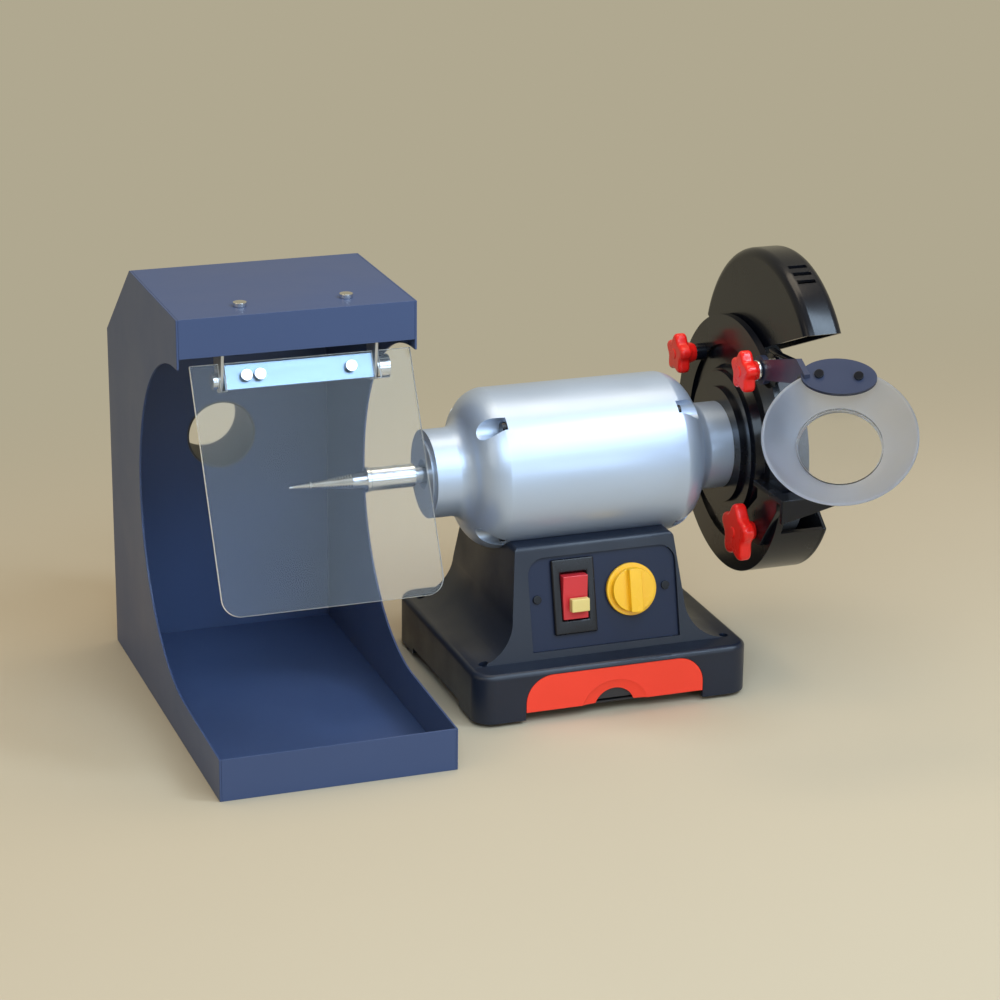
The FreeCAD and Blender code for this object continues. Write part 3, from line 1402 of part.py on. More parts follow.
# Tool rest: plate, tapered front flange, slotted bracket
rest_top = rise(-S.rest_top_drop)
rest_low = rest_top - S.rest_thick
rest_plate = slab("XY_Plane", [
    (S.rest_left, -S.rest_front_y),
    (S.rest_right, -S.rest_front_y),
    (S.rest_right, -S.rest_back_y),
    (S.rest_tongue_right, -S.rest_back_y),
    (S.rest_tongue_right, -S.rest_tongue_y),
    (S.rest_tongue_left, -S.rest_tongue_y),
    (S.rest_tongue_left, -S.rest_back_y),
    (rest_plate_end, -S.rest_back_y),
    (rest_plate_end, -S.rest_strip_back_y),
    (S.rest_left, -S.rest_strip_back_y),
], S.rest_thick)
place(rest_plate, 0, 0, rest_low)
rest_flange = slab("XZ_Plane", [
    (S.rest_left, rest_top - S.rest_flange_deep),
    (S.rest_right, rest_top - S.rest_flange_end),
    (S.rest_right, rest_low + S.rest_thick / 2),
    (S.rest_left, rest_low + S.rest_thick / 2),
], S.rest_thick)
place(rest_flange, 0, -S.rest_front_y + S.rest_thick, 0)
half = S.rest_bracket_half
slot_y = REST[0] + S.rest_travel
bracket = slab("YZ_Plane", [
    (-S.rest_back_y, rest_low),
    (-S.rest_back_y, rest_low - half),
    (REST[0] - half, REST[1] - half, half / 2),
    (slot_y + half, REST[1] - half, half / 2),
    (slot_y + half, REST[1] + half / 2),
    (-S.rest_strip_back_y, rest_low - half),
    (-S.rest_strip_back_y, rest_low + S.rest_thick / 2),
    (-S.rest_back_y, rest_low + S.rest_thick / 2),
], S.rest_thick)
place(bracket, rest_plate_start, 0, 0)
slot_radius = S.stud_radius + S.running_gap
slot_parts = [rod_x(rest_plate_start - S.cut_overrun, y, REST[1], slot_radius, S.rest_thick + S.cut_overrun * 2)
              for y in (REST[0], slot_y)]
slot_parts.append(box(rest_plate_start - S.cut_overrun, REST[0], REST[1] - slot_radius,
                      S.rest_thick + S.cut_overrun * 2, S.rest_travel, slot_radius * 2))
node("tool_rest", cut(fuse(rest_plate, rest_flange, bracket), *slot_parts))


# Dust hood: one bent sheet between two side sheets

left = -S.hood_left
right = -S.hood_right
flange_low = S.hood_tall - S.hood_flange_tall
sheet_thick = S.hood_sheet
hood_long = S.hood_left - S.hood_right
chamfer_turn = angle_of(S.hood_tall - S.hood_back_tall, S.hood_back_y - S.hood_chamfer_y)
chamfer_drop = sheet_thick * tangent((RIGHT_ANGLE - chamfer_turn) / 2)
chamfer_in = sheet_thick * tangent(chamfer_turn / 2)
wrap = slab("YZ_Plane", [
    (-S.hood_front_y, S.hood_lip_tall),
    (-S.hood_front_y, 0),
    (S.hood_back_y, 0),
    (S.hood_back_y, S.hood_back_tall),
    (S.hood_chamfer_y, S.hood_tall),
    (-S.hood_top_front_y, S.hood_tall),
    (-S.hood_top_front_y, flange_low),
    (-S.hood_top_front_y + sheet_thick, flange_low),
    (-S.hood_top_front_y + sheet_thick, S.hood_tall - sheet_thick),
    (S.hood_chamfer_y - chamfer_in, S.hood_tall - sheet_thick),
    (S.hood_back_y - sheet_thick, S.hood_back_tall - chamfer_drop),
    (S.hood_back_y - sheet_thick, sheet_thick),
    (-S.hood_front_y + sheet_thick, sheet_thick),
    (-S.hood_front_y + sheet_thick, S.hood_lip_tall),
], hood_long - sheet_thick * 2)
place(wrap, left + sheet_thick, 0, 0)
tube_radius = S.outlet_radius + S.outlet_wall
outlet_hole = rod_y(-S.outlet_x, S.hood_back_y - S.cut_overrun * 2, S.outlet_z, tube_radius + S.seat_gap,
                    S.outlet_long)
bolt_places = (-S.bracket_bolt_left, -S.bracket_bolt_right)


def bracket_rods(z, radius, tall):
    return [rod(x, -S.bracket_bolt_y, z, radius, tall) for x in bolt_places]


bracket_top = S.hood_tall - sheet_thick
bolt_hole = S.bracket_bolt_radius + S.seat_gap
node("hood_wrap", cut(wrap, outlet_hole, *bracket_rods(bracket_top - S.cut_overrun, bolt_hole, S.hood_sheet * 4)))


def hood_side(x):
    radius = (flange_low - S.opening_head - S.opening_low) / 2
    middle_z = S.opening_low + radius
    mouth_y = -S.opening_center_y
    side = slab("YZ_Plane", [
        (-S.hood_front_y, 0),
        (S.hood_back_y, 0),
        (S.hood_back_y, S.hood_back_tall),
        (S.hood_chamfer_y, S.hood_tall),
        (-S.hood_top_front_y, S.hood_tall),
        (-S.hood_top_front_y, middle_z + radius),
        (mouth_y, middle_z + radius),
        (mouth_y + radius, middle_z),
        (mouth_y, S.opening_low),
        (-S.hood_front_y, S.hood_lip_tall),
    ], sheet_thick, arcs={6: (radius, -1), 7: (radius, -1)})
    return place(side, x, 0, 0)


node("hood_side_left", hood_side(left))
node("hood_side_right", hood_side(right - sheet_thick))

outlet_start = S.hood_back_y - sheet_thick
outlet_tube = rod_y(-S.outlet_x, outlet_start, S.outlet_z, tube_radius, S.outlet_long + sheet_thick)
outlet_collar = rod_y(-S.outlet_x, S.hood_back_y, S.outlet_z, tube_radius + S.outlet_flange, S.outlet_wall)
outlet_bore = rod_y(-S.outlet_x, outlet_start - S.cut_overrun, S.outlet_z, S.outlet_radius,
                    S.outlet_long + sheet_thick + S.cut_overrun * 2)
node("outlet_spigot", cut(fuse(outlet_tube, outlet_collar), outlet_bore))

# Bracket under the hood's top with two hanging ears, and the shield's pivots
pivot_z = S.hood_tall - S.pivot_drop
pivot_ear = S.ear_wide / 2 - S.ear_margin
bracket_front = -S.hood_top_front_y + sheet_thick + S.seat_gap
bracket_back = bracket_front + S.strap_deep
top_strap = box(-S.ear_left, bracket_front, bracket_top - S.ear_thick,
                S.ear_left - S.ear_right, bracket_back - bracket_front, S.ear_thick)


def hanging_ear(x):
    plate = slab("YZ_Plane", [
        (-S.pivot_y - pivot_ear, pivot_z),
        (-S.pivot_y + pivot_ear, pivot_z),
        (bracket_back, bracket_top - S.ear_thick),
        (bracket_back, bracket_top),
        (bracket_front, bracket_top),
        (bracket_front, bracket_top - S.ear_thick),
    ], S.ear_thick)
    place(plate, x, 0, 0)
    return fuse(plate, rod_x(x, -S.pivot_y, pivot_z, pivot_ear, S.ear_thick))


def pivot_rod(x, radius, long):
    return rod_x(x, -S.pivot_y, pivot_z, radius, long)


ears = [hanging_ear(-S.ear_left), hanging_ear(-S.ear_right - S.ear_thick)]
pivot_hole = pivot_rod(-S.ear_left - S.cut_overrun, S.pivot_radius + S.seat_gap, hood_long)
node("shield_bracket", cut(fuse(top_strap, *ears), pivot_hole,
                           *bracket_rods(bracket_top - S.ear_thick - S.cut_overrun, bolt_hole, S.ear_wide)))
bolt_low = bracket_top - S.ear_thick - S.bracket_bolt_tall
bolt_high = S.hood_tall + S.bracket_bolt_tall
node("bracket_bolts", together(*[fuse(*parts) for parts in zip(
    bracket_rods(bolt_low, S.bracket_bolt_radius, bolt_high - bolt_low),
    bracket_rods(bolt_low, S.bracket_bolt_head, S.bracket_bolt_tall),
    bracket_rods(S.hood_tall, S.bracket_bolt_head, S.bracket_bolt_tall))]))
lug_start = -S.ear_left + S.ear_thick + S.sliding_gap
lug_end = -S.ear_right - S.ear_thick - S.sliding_gap
left_pivot = fuse(pivot_rod(-S.ear_left - S.pivot_head_long, S.pivot_head, S.pivot_head_long),
                  pivot_rod(-S.ear_left, S.pivot_radius, S.ear_thick * 2 + S.sliding_gap))
right_start = lug_end - S.ear_thick
right_pivot = fuse(pivot_rod(right_start, S.pivot_radius, -S.ear_right + S.thumb_long - right_start),
                   pivot_rod(right_start - S.sliding_gap, S.pivot_radius, S.sliding_gap))
node("pivot_bolts", together(left_pivot, right_pivot))
thumb_start = -S.ear_right + S.sliding_gap
thumb = cut(pivot_rod(thumb_start, S.thumb_radius, S.thumb_long),
            pivot_rod(thumb_start - S.cut_overrun, S.pivot_radius + S.running_gap, S.thumb_long + S.cut_overrun * 2))
node("shield_thumb_nut", thumb)

# Tilting clear shield behind which a bar carries two pivot lugs
SHIELD = (as_size(0), -S.pivot_y, pivot_z, RIGHT_ANGLE - S.shield_tilt)
bar_front = pivot_ear + S.sliding_gap
bar_back = bar_front - S.bar_thick
panel_front = bar_front + S.shield_thick
bar = tilted(box(0, 0, 0, lug_end - lug_start, S.bar_tall, S.bar_thick), SHIELD, lug_start, -S.bar_tall / 2,
             bar_back)
lugs = []
for x in (lug_start, lug_end - S.ear_thick):
    lugs.append(pivot_rod(x, pivot_ear, S.ear_thick))
    lugs.append(tilted(box(0, 0, 0, S.ear_thick, S.bar_tall, bar_front), SHIELD, x, -S.bar_tall / 2, 0))
lug_hole = pivot_rod(lug_start - S.cut_overrun, S.pivot_radius + S.running_gap, hood_long)
screw_places = (-S.shield_screw_left, -S.shield_screw_middle, -S.shield_screw_right)


def shield_screw_rods(out, radius, long):
    return [tilted(rod(0, 0, 0, radius, long), SHIELD, x, 0, out) for x in screw_places]


screw_hole_radius = S.shield_screw_radius + S.seat_gap
node("shield_bar", cut(fuse(bar, *lugs), lug_hole,
                       *shield_screw_rods(bar_back - S.cut_overrun, screw_hole_radius, S.bar_tall)))
low = -S.shield_tall + S.shield_above
shield = slab("XY_Plane", [
    (-S.shield_left, low, S.shield_round),
    (-S.shield_right, low, S.shield_round),
    (-S.shield_right, S.shield_above),
    (-S.shield_left, S.shield_above),
], S.shield_thick)
tilted(shield, SHIELD, 0, 0, bar_front + S.seat_gap)
slot_low = -pivot_ear - S.slot_margin
slots = [tilted(box(0, 0, 0, S.ear_thick + S.slot_margin * 2, S.shield_tall, S.shield_thick + S.cut_overrun * 2),
                SHIELD, x - S.slot_margin, slot_low, bar_front - S.cut_overrun)
         for x in (-S.ear_left, -S.ear_right - S.ear_thick)]
node("shield_panel", cut(shield, *slots,
                         *shield_screw_rods(bar_back - S.cut_overrun, screw_hole_radius, S.bar_tall)))
shield_face = panel_front + S.seat_gap
screw_back = bar_back - S.bar_thick
node("shield_screws", together(*[fuse(*parts) for parts in zip(
    shield_screw_rods(screw_back, S.shield_screw_radius, shield_face - screw_back),
    shield_screw_rods(screw_back, S.shield_screw_head, S.bar_thick),
    shield_screw_rods(shield_face, S.shield_screw_head, S.shield_screw_radius))]))


# Write every piece

doc.recompute()
for item in doc.Objects:
    if "Invalid" in item.State or "Error" in item.State:
        raise RuntimeError("%s (%s) failed: %s" % (item.Label, item.Name, item.State))
os.makedirs("parts", exist_ok=True)
for item in NODES:
    if item.Shape.isNull() or not item.Shape.isValid():
        raise RuntimeError("%s has no valid shape" % item.Label)
    item.Shape.exportStep("parts/%s.step" % item.Label)
    print(item.Label, len(item.Shape.Solids), round(item.Shape.Volume, 1))
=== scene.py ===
# %% [markdown]
# A polishing lathe for a dental bench: a silver motor on a black base, a taper spindle that works
# inside a loose sheet-steel dust hood, and a grinding wheel in a black guard on the other side.
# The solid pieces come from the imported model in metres; here they get their finishes, and the
# pieces whose look needs more than the solid gives are modelled again with mesh tools.

import json
from math import atan2, cos, pi, radians, sin, sqrt

import bmesh
import bpy
from mathutils import Matrix, Vector


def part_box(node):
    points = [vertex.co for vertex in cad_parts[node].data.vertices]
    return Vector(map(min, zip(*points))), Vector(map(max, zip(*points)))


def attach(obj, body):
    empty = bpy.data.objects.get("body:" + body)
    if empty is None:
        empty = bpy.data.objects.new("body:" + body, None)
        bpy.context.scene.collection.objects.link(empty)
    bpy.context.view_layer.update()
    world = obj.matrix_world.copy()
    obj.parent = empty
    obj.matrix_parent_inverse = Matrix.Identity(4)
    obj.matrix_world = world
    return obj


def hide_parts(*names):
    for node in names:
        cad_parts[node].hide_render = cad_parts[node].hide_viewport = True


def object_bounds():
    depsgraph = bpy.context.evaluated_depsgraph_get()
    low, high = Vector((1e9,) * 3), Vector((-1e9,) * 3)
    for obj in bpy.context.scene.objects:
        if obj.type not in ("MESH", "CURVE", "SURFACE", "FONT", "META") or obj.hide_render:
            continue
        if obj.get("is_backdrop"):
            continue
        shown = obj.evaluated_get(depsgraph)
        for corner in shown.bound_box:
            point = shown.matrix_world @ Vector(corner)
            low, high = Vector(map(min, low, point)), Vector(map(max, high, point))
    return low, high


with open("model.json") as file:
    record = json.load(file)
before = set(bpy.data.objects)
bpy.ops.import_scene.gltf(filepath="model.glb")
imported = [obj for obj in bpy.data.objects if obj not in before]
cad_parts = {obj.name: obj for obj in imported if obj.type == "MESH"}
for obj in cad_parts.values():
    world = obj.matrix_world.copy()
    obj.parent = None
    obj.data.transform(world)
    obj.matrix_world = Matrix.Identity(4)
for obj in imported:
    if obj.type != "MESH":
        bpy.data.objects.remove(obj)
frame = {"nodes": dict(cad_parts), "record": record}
cad_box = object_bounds()
nodes = frame["nodes"]
MM = 0.001
print("pieces in the model:", len(nodes))

# %% [markdown]
# The camera stands to the left of the front and looks down a little, with a long lens, as in the
# photograph. Its turn is built from three plain turns: swing to the side, tilt down, and a small
# roll, so each angle can be read and changed by itself.

# %% Camera
camera_data = bpy.data.cameras.new("camera")
camera = bpy.data.objects.new("camera", camera_data)
bpy.context.scene.collection.objects.link(camera)
SWING, TILT, ROLL = radians(-19.87), radians(90 - 19.05), radians(0.63)
CAMERA_PLACE = (-0.7123, -1.8231, 0.7998)
camera_turn = (Matrix.Rotation(SWING, 4, "Z") @ Matrix.Rotation(TILT, 4, "X")
               @ Matrix.Rotation(ROLL, 4, "Z"))
camera.matrix_world = Matrix.Translation(CAMERA_PLACE) @ camera_turn
camera_data.sensor_width = 36
camera_data.lens = 107.0
bpy.context.scene.camera = camera
bpy.context.scene.view_settings.view_transform = "Standard"

# %% [markdown]
# Soft studio light. A wide cool lamp stands high in front, a weak cool one low in front, and a
# narrow cool strip on the right draws the bright band on the guard's rim. Two warm lamps, above and
# on the left, and an even warm world fill the rest. The floor is a wide pale sheet. Light Path shows
# the plain backdrop to the camera and in reflections without adding its light to the object.

# %% Floor, world and lamps
def soft_lamp(name, place, aim, size, power, colour):
    data = bpy.data.lights.new(name, "AREA")
    data.shape = "RECTANGLE"
    data.size, data.size_y = size
    data.energy = power
    data.color = colour
    lamp = bpy.data.objects.new(name, data)
    lamp.location = place
    lamp.rotation_euler = (Vector(aim) - Vector(place)).to_track_quat("-Z", "Y").to_euler()
    bpy.context.scene.collection.objects.link(lamp)


def seen_rays(tree):
    """Gives 1 for camera rays, reflections and rays through glass, and 0 for all other light."""
    rays = tree.nodes.new("ShaderNodeLightPath")
    seen = rays.outputs["Is Camera Ray"]
    for kind in ("Is Glossy Ray", "Is Transmission Ray"):
        either = tree.nodes.new("ShaderNodeMath")
        either.operation = "MAXIMUM"
        tree.links.new(seen, either.inputs[0])
        tree.links.new(rays.outputs[kind], either.inputs[1])
        seen = either.outputs[0]
    return seen


COOL = (0.62, 0.80, 1.0)
WARM = (1.0, 0.86, 0.66)
soft_lamp("window", (-0.15, -1.25, 1.25), (0.0, 0, 0.12), (1.7, 0.8), 20, COOL)
soft_lamp("low_front", (0.45, -1.65, 0.45), (0.0, 0, 0.12), (1.0, 0.4), 4, COOL)
soft_lamp("strip", (0.82, -0.78, 1.50), (0.14, -0.1, 0.27), (0.35, 0.9), 14, COOL)
soft_lamp("top", (0.0, 0.25, 1.6), (0, 0, 0.1), (1.4, 0.6), 9, WARM)
soft_lamp("left", (-1.5, -0.5, 0.9), (-0.1, 0, 0.15), (0.8, 0.8), 3, WARM)

BACKDROP = (0.434, 0.392, 0.279, 1)
world = bpy.data.worlds.new("studio")
bpy.context.scene.world = world
world.use_nodes = True
sky = world.node_tree
even_light = sky.nodes["Background"]
even_light.inputs["Color"].default_value = (1.0, 0.92, 0.78, 1)
even_light.inputs["Strength"].default_value = 0.36
backdrop = sky.nodes.new("ShaderNodeBackground")
backdrop.inputs["Color"].default_value = BACKDROP
choose = sky.nodes.new("ShaderNodeMixShader")
sky.links.new(seen_rays(sky), choose.inputs["Fac"])
sky.links.new(even_light.outputs[0], choose.inputs[1])
sky.links.new(backdrop.outputs[0], choose.inputs[2])
sky.links.new(choose.outputs[0], sky.nodes["World Output"].inputs["Surface"])

FLOOR_HALF = 6
floor_mesh = bmesh.new()
bmesh.ops.create_grid(floor_mesh, x_segments=1, y_segments=1, size=FLOOR_HALF)
floor_data = bpy.data.meshes.new("floor")
floor_mesh.to_mesh(floor_data)
floor_mesh.free()
floor = bpy.data.objects.new("floor", floor_data)
bpy.context.scene.collection.objects.link(floor)
floor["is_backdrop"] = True

# %% [markdown]
# Most finishes here are a paint or a moulded plastic: one colour that drifts a little, a gloss that
# drifts too, and a fine grain that catches the light. One helper builds all of them from noise, and
# each finish then names its own colour, gloss and grain size. Noise reads Object coordinates, so the
# grain has a real size in millimetres on every piece.

# %% A helper for finishes with drift and grain
def finish(name, colour, rough, metallic=0.0, drift=0.12, grain=0.6, height=0.02, patch=30.0,
           rough_drift=0.06, coat=0.0, stretch=(1, 1, 1), specular=0.5):
    material = bpy.data.materials.new(name)
    material.use_nodes = True
    tree = material.node_tree
    shader = tree.nodes["Principled BSDF"]
    shader.inputs["Metallic"].default_value = metallic
    shader.inputs["Coat Weight"].default_value = coat
    shader.inputs["Coat Roughness"].default_value = 0.12
    shader.inputs["Specular IOR Level"].default_value = specular
    place = tree.nodes.new("ShaderNodeTexCoord")
    sized = tree.nodes.new("ShaderNodeMapping")
    sized.inputs["Scale"].default_value = stretch
    tree.links.new(place.outputs["Object"], sized.inputs["Vector"])
    wide = tree.nodes.new("ShaderNodeTexNoise")
    wide.inputs["Scale"].default_value = 1000 / patch
    wide.inputs["Detail"].default_value = 5
    fine = tree.nodes.new("ShaderNodeTexNoise")
    fine.inputs["Scale"].default_value = 1000 / grain
    fine.inputs["Detail"].default_value = 3
    for noise in (wide, fine):
        tree.links.new(sized.outputs["Vector"], noise.inputs["Vector"])
    tone = tree.nodes.new("ShaderNodeMix")
    tone.data_type = "RGBA"
    tone.inputs["A"].default_value = [c * (1 - drift) for c in colour] + [1]
    tone.inputs["B"].default_value = [min(c * (1 + drift), 1) for c in colour] + [1]
    tree.links.new(wide.outputs["Fac"], tone.inputs["Factor"])
    tree.links.new(tone.outputs["Result"], shader.inputs["Base Color"])
    gloss = tree.nodes.new("ShaderNodeMapRange")
    gloss.inputs["From Min"].default_value = 0.3
    gloss.inputs["From Max"].default_value = 0.7
    gloss.inputs["To Min"].default_value = max(rough - rough_drift, 0.02)
    gloss.inputs["To Max"].default_value = rough + rough_drift
    tree.links.new(wide.outputs["Fac"], gloss.inputs["Value"])
    tree.links.new(gloss.outputs["Result"], shader.inputs["Roughness"])
    bump = tree.nodes.new("ShaderNodeBump")
    bump.inputs["Strength"].default_value = 0.35
    bump.inputs["Distance"].default_value = height * MM
    tree.links.new(fine.outputs["Fac"], bump.inputs["Height"])
    tree.links.new(bump.outputs["Normal"], shader.inputs["Normal"])
    return material


def dress(material, *names):
    for name in names:
        mesh = nodes[name].data
        mesh.materials.clear()
        mesh.materials.append(material)


# %% [markdown]
# The finishes of the painted, moulded and metal pieces. The colours are plain linear values; the
# motor's enamel is a metallic silver, the base a grained black plastic, the hood a satin slate.

# %% Finishes of the solid pieces
floor_finish = finish("pale_floor", (0.54, 0.45, 0.315), 0.75, drift=0.02, patch=400, grain=4,
                      height=0.01)
floor.data.materials.append(floor_finish)


def fade_to_backdrop(material, near, far):
    """Turns the floor into the backdrop between near and far, for camera and reflections only."""
    tree = material.node_tree
    place = tree.nodes.new("ShaderNodeTexCoord")
    split = tree.nodes.new("ShaderNodeSeparateXYZ")
    fade = tree.nodes.new("ShaderNodeMapRange")
    fade.interpolation_type = "SMOOTHSTEP"
    fade.inputs["From Min"].default_value = near
    fade.inputs["From Max"].default_value = far
    share = tree.nodes.new("ShaderNodeMath")
    share.operation = "MULTIPLY"
    plain = tree.nodes.new("ShaderNodeEmission")
    plain.inputs["Color"].default_value = BACKDROP
    mix = tree.nodes.new("ShaderNodeMixShader")
    tree.links.new(place.outputs["Object"], split.inputs["Vector"])
    tree.links.new(split.outputs["Y"], fade.inputs["Value"])
    tree.links.new(fade.outputs["Result"], share.inputs[0])
    tree.links.new(seen_rays(tree), share.inputs[1])
    tree.links.new(share.outputs[0], mix.inputs["Fac"])
    tree.links.new(tree.nodes["Principled BSDF"].outputs["BSDF"], mix.inputs[1])
    tree.links.new(plain.outputs["Emission"], mix.inputs[2])
    tree.links.new(mix.outputs["Shader"], tree.nodes["Material Output"].inputs["Surface"])


FADE_NEAR, FADE_FAR = 0.10, 0.85
fade_to_backdrop(floor_finish, FADE_NEAR, FADE_FAR)
base_black = finish("moulded_black", (0.009, 0.014, 0.028), 0.36, grain=0.5, height=0.04,
                    rough_drift=0.08, specular=0.45)
guard_black = finish("guard_enamel", (0.004, 0.005, 0.009), 0.24, grain=0.8, height=0.010,
                     coat=0.10, specular=0.28)
panel_black = finish("panel_black", (0.012, 0.019, 0.046), 0.40, grain=0.4, height=0.015,
                     specular=0.3)
switch_black = finish("switch_black", (0.006, 0.006, 0.009), 0.28, grain=0.4, height=0.006,
                      specular=0.4)
foot_rubber = finish("foot_rubber", (0.02, 0.02, 0.02), 0.85, grain=0.5, height=0.08)
silver_enamel = finish("silver_enamel", (0.50, 0.585, 0.72), 0.38, metallic=0.55, drift=0.03,
                       patch=60, grain=0.25, height=0.010, coat=0.15)
slate_enamel = finish("slate_enamel", (0.050, 0.078, 0.170), 0.42, drift=0.07, patch=90, grain=0.5,
                      height=0.018, specular=0.35)
zinc = finish("zinc_plate", (0.55, 0.57, 0.60), 0.35, metallic=0.9, drift=0.12, patch=12, grain=1.5,
              height=0.01)
nickel = finish("nickel_plate", (0.72, 0.73, 0.74), 0.20, metallic=1.0, drift=0.05, patch=8)
turned_steel = finish("turned_steel", (0.62, 0.65, 0.70), 0.22, metallic=1.0, drift=0.06, patch=6,
                      grain=0.4, height=0.002, stretch=(1, 0.05, 0.05))
bar_metal = finish("milled_aluminium", (0.26, 0.35, 0.46), 0.36, metallic=0.85, drift=0.08,
                   patch=10, grain=0.4, height=0.02, stretch=(0.1, 1, 1))
drawer_red = finish("drawer_red", (0.95, 0.050, 0.022), 0.38, drift=0.05, grain=0.5, height=0.02)
knob_red = finish("knob_red", (0.90, 0.014, 0.010), 0.28, drift=0.06, grain=0.5, height=0.02)
rocker_red = finish("rocker_red", (0.66, 0.035, 0.045), 0.22, drift=0.05, grain=0.5, height=0.01)
key_yellow = finish("key_yellow", (0.80, 0.62, 0.22), 0.35, drift=0.04)
knob_yellow = finish("knob_yellow", (1.0, 0.53, 0.014), 0.26, drift=0.04, grain=0.4, height=0.02)
tray_black = finish("tray_black", (0.025, 0.025, 0.028), 0.5, grain=0.5, height=0.04)
board_green = finish("board_green", (0.03, 0.16, 0.06), 0.45, patch=6)
lamination = finish("lamination", (0.20, 0.20, 0.21), 0.5, metallic=0.8, grain=0.6, height=0.1,
                    stretch=(1, 0.02, 0.02))
copper = finish("varnished_copper", (0.50, 0.20, 0.07), 0.35, metallic=0.9, grain=0.8, height=0.2)
grit = finish("bonded_grit", (0.20, 0.21, 0.23), 0.9, drift=0.35, patch=1.2, grain=0.5, height=0.25)
tube_grey = finish("tube_grey", (0.075, 0.070, 0.062), 0.55, metallic=0.2, drift=0.15, patch=15)
pan_black = finish("pan_black", (0.02, 0.02, 0.022), 0.5, drift=0.2, patch=20)
arm_grey = finish("arm_grey", (0.015, 0.024, 0.060), 0.42, drift=0.06, grain=0.5, height=0.02)

dress(base_black, "base_shell")
dress(pan_black, "base_plate")
dress(zinc, "drawer_runners")
dress(switch_black, "tie_bolts")
dress(nickel, "mount_bolts", "bearing_outer_rings", "bearing_inner_rings", "run_capacitor")
dress(turned_steel, "motor_shaft", "spindle_set_screw", "potentiometer_shaft",
      "potentiometer_body")
dress(board_green, "control_board")
dress(lamination, "stator_core", "rotor_core")
dress(copper, "stator_windings")

# %% [markdown]
# The finishes that pass light are left. The eye shield's ring is frosted plastic, which scatters
# what it passes; the lens and the hood's shield are clear. The sawn edge of a clear sheet gathers
# light and shows as a pale line, so the shield has a second finish for its rim.

# %% Clear and frosted finishes
def clear(name, colour, rough, through, drift=0.02, ior=1.4, specular=0.3):
    material = finish(name, colour, rough, drift=drift, patch=25, rough_drift=rough / 3,
                      height=0.004, specular=specular)
    shader = material.node_tree.nodes["Principled BSDF"]
    shader.inputs["Transmission Weight"].default_value = through
    shader.inputs["IOR"].default_value = ior
    return material


frosted = clear("frosted_ring", (0.72, 0.77, 0.90), 0.44, 0.93, drift=0.04, specular=0.4)
lens_clear = clear("lens_clear", (0.93, 0.94, 0.95), 0.04, 1.0)
acrylic = clear("acrylic_sheet", (0.93, 0.96, 1.0), 0.05, 1.0, ior=1.24)
acrylic_rim = clear("acrylic_rim", (0.92, 0.96, 1.0), 0.35, 0.05, drift=0.06, specular=0.5)
print("materials:", len(bpy.data.materials))

# %% [markdown]
# A moulded, cast or pressed piece has no sharp edges: every corner is a small round that catches the
# light as a thin line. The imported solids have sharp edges, so each visible one is copied, its
# triangles are joined to whole faces again, and its corners are cut back by a small round. The width
# says how the piece is made: tenths of a millimetre on sheet metal, more on moulded plastic.

# %% Helpers that make pieces
behaviour = frame["record"]["behaviour"]
body_of = {node: body for body, names in behaviour["bodies"].items() for node in names}


def piece(name, shape, material, body, *replaced, corner=32):
    mesh = bpy.data.meshes.new(name)
    shape.to_mesh(mesh)
    shape.free()
    mesh.materials.append(material)
    mesh.shade_smooth()
    mesh.set_sharp_from_angle(angle=radians(corner))
    item = bpy.data.objects.new(name, mesh)
    bpy.context.scene.collection.objects.link(item)
    item.modifiers.new("flat faces stay flat", "WEIGHTED_NORMAL").keep_sharp = True
    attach(item, body)
    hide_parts(*replaced)
    return item


def whole_faces(node):
    shape = bmesh.new()
    shape.from_mesh(nodes[node].data)
    bmesh.ops.remove_doubles(shape, verts=shape.verts, dist=0.002 * MM)
    bmesh.ops.dissolve_limit(shape, angle_limit=radians(0.6), verts=shape.verts, edges=shape.edges)
    return shape


def corners(shape, angle=35):
    return [edge for edge in shape.edges
            if len(edge.link_faces) == 2 and edge.calc_face_angle() > radians(angle)]


def rounded(shape, width, edges=None, segments=2):
    bmesh.ops.bevel(shape, geom=corners(shape) if edges is None else edges, offset=width * MM,
                    offset_type="OFFSET", segments=segments, profile=0.5, affect="EDGES",
                    clamp_overlap=True, material=-1)
    return shape


def softened(node, width, material):
    return piece("soft_" + node, rounded(whole_faces(node), width), material, body_of[node], node)


# %% [markdown]
# The pieces below keep the solid's shape and only get their rounds.

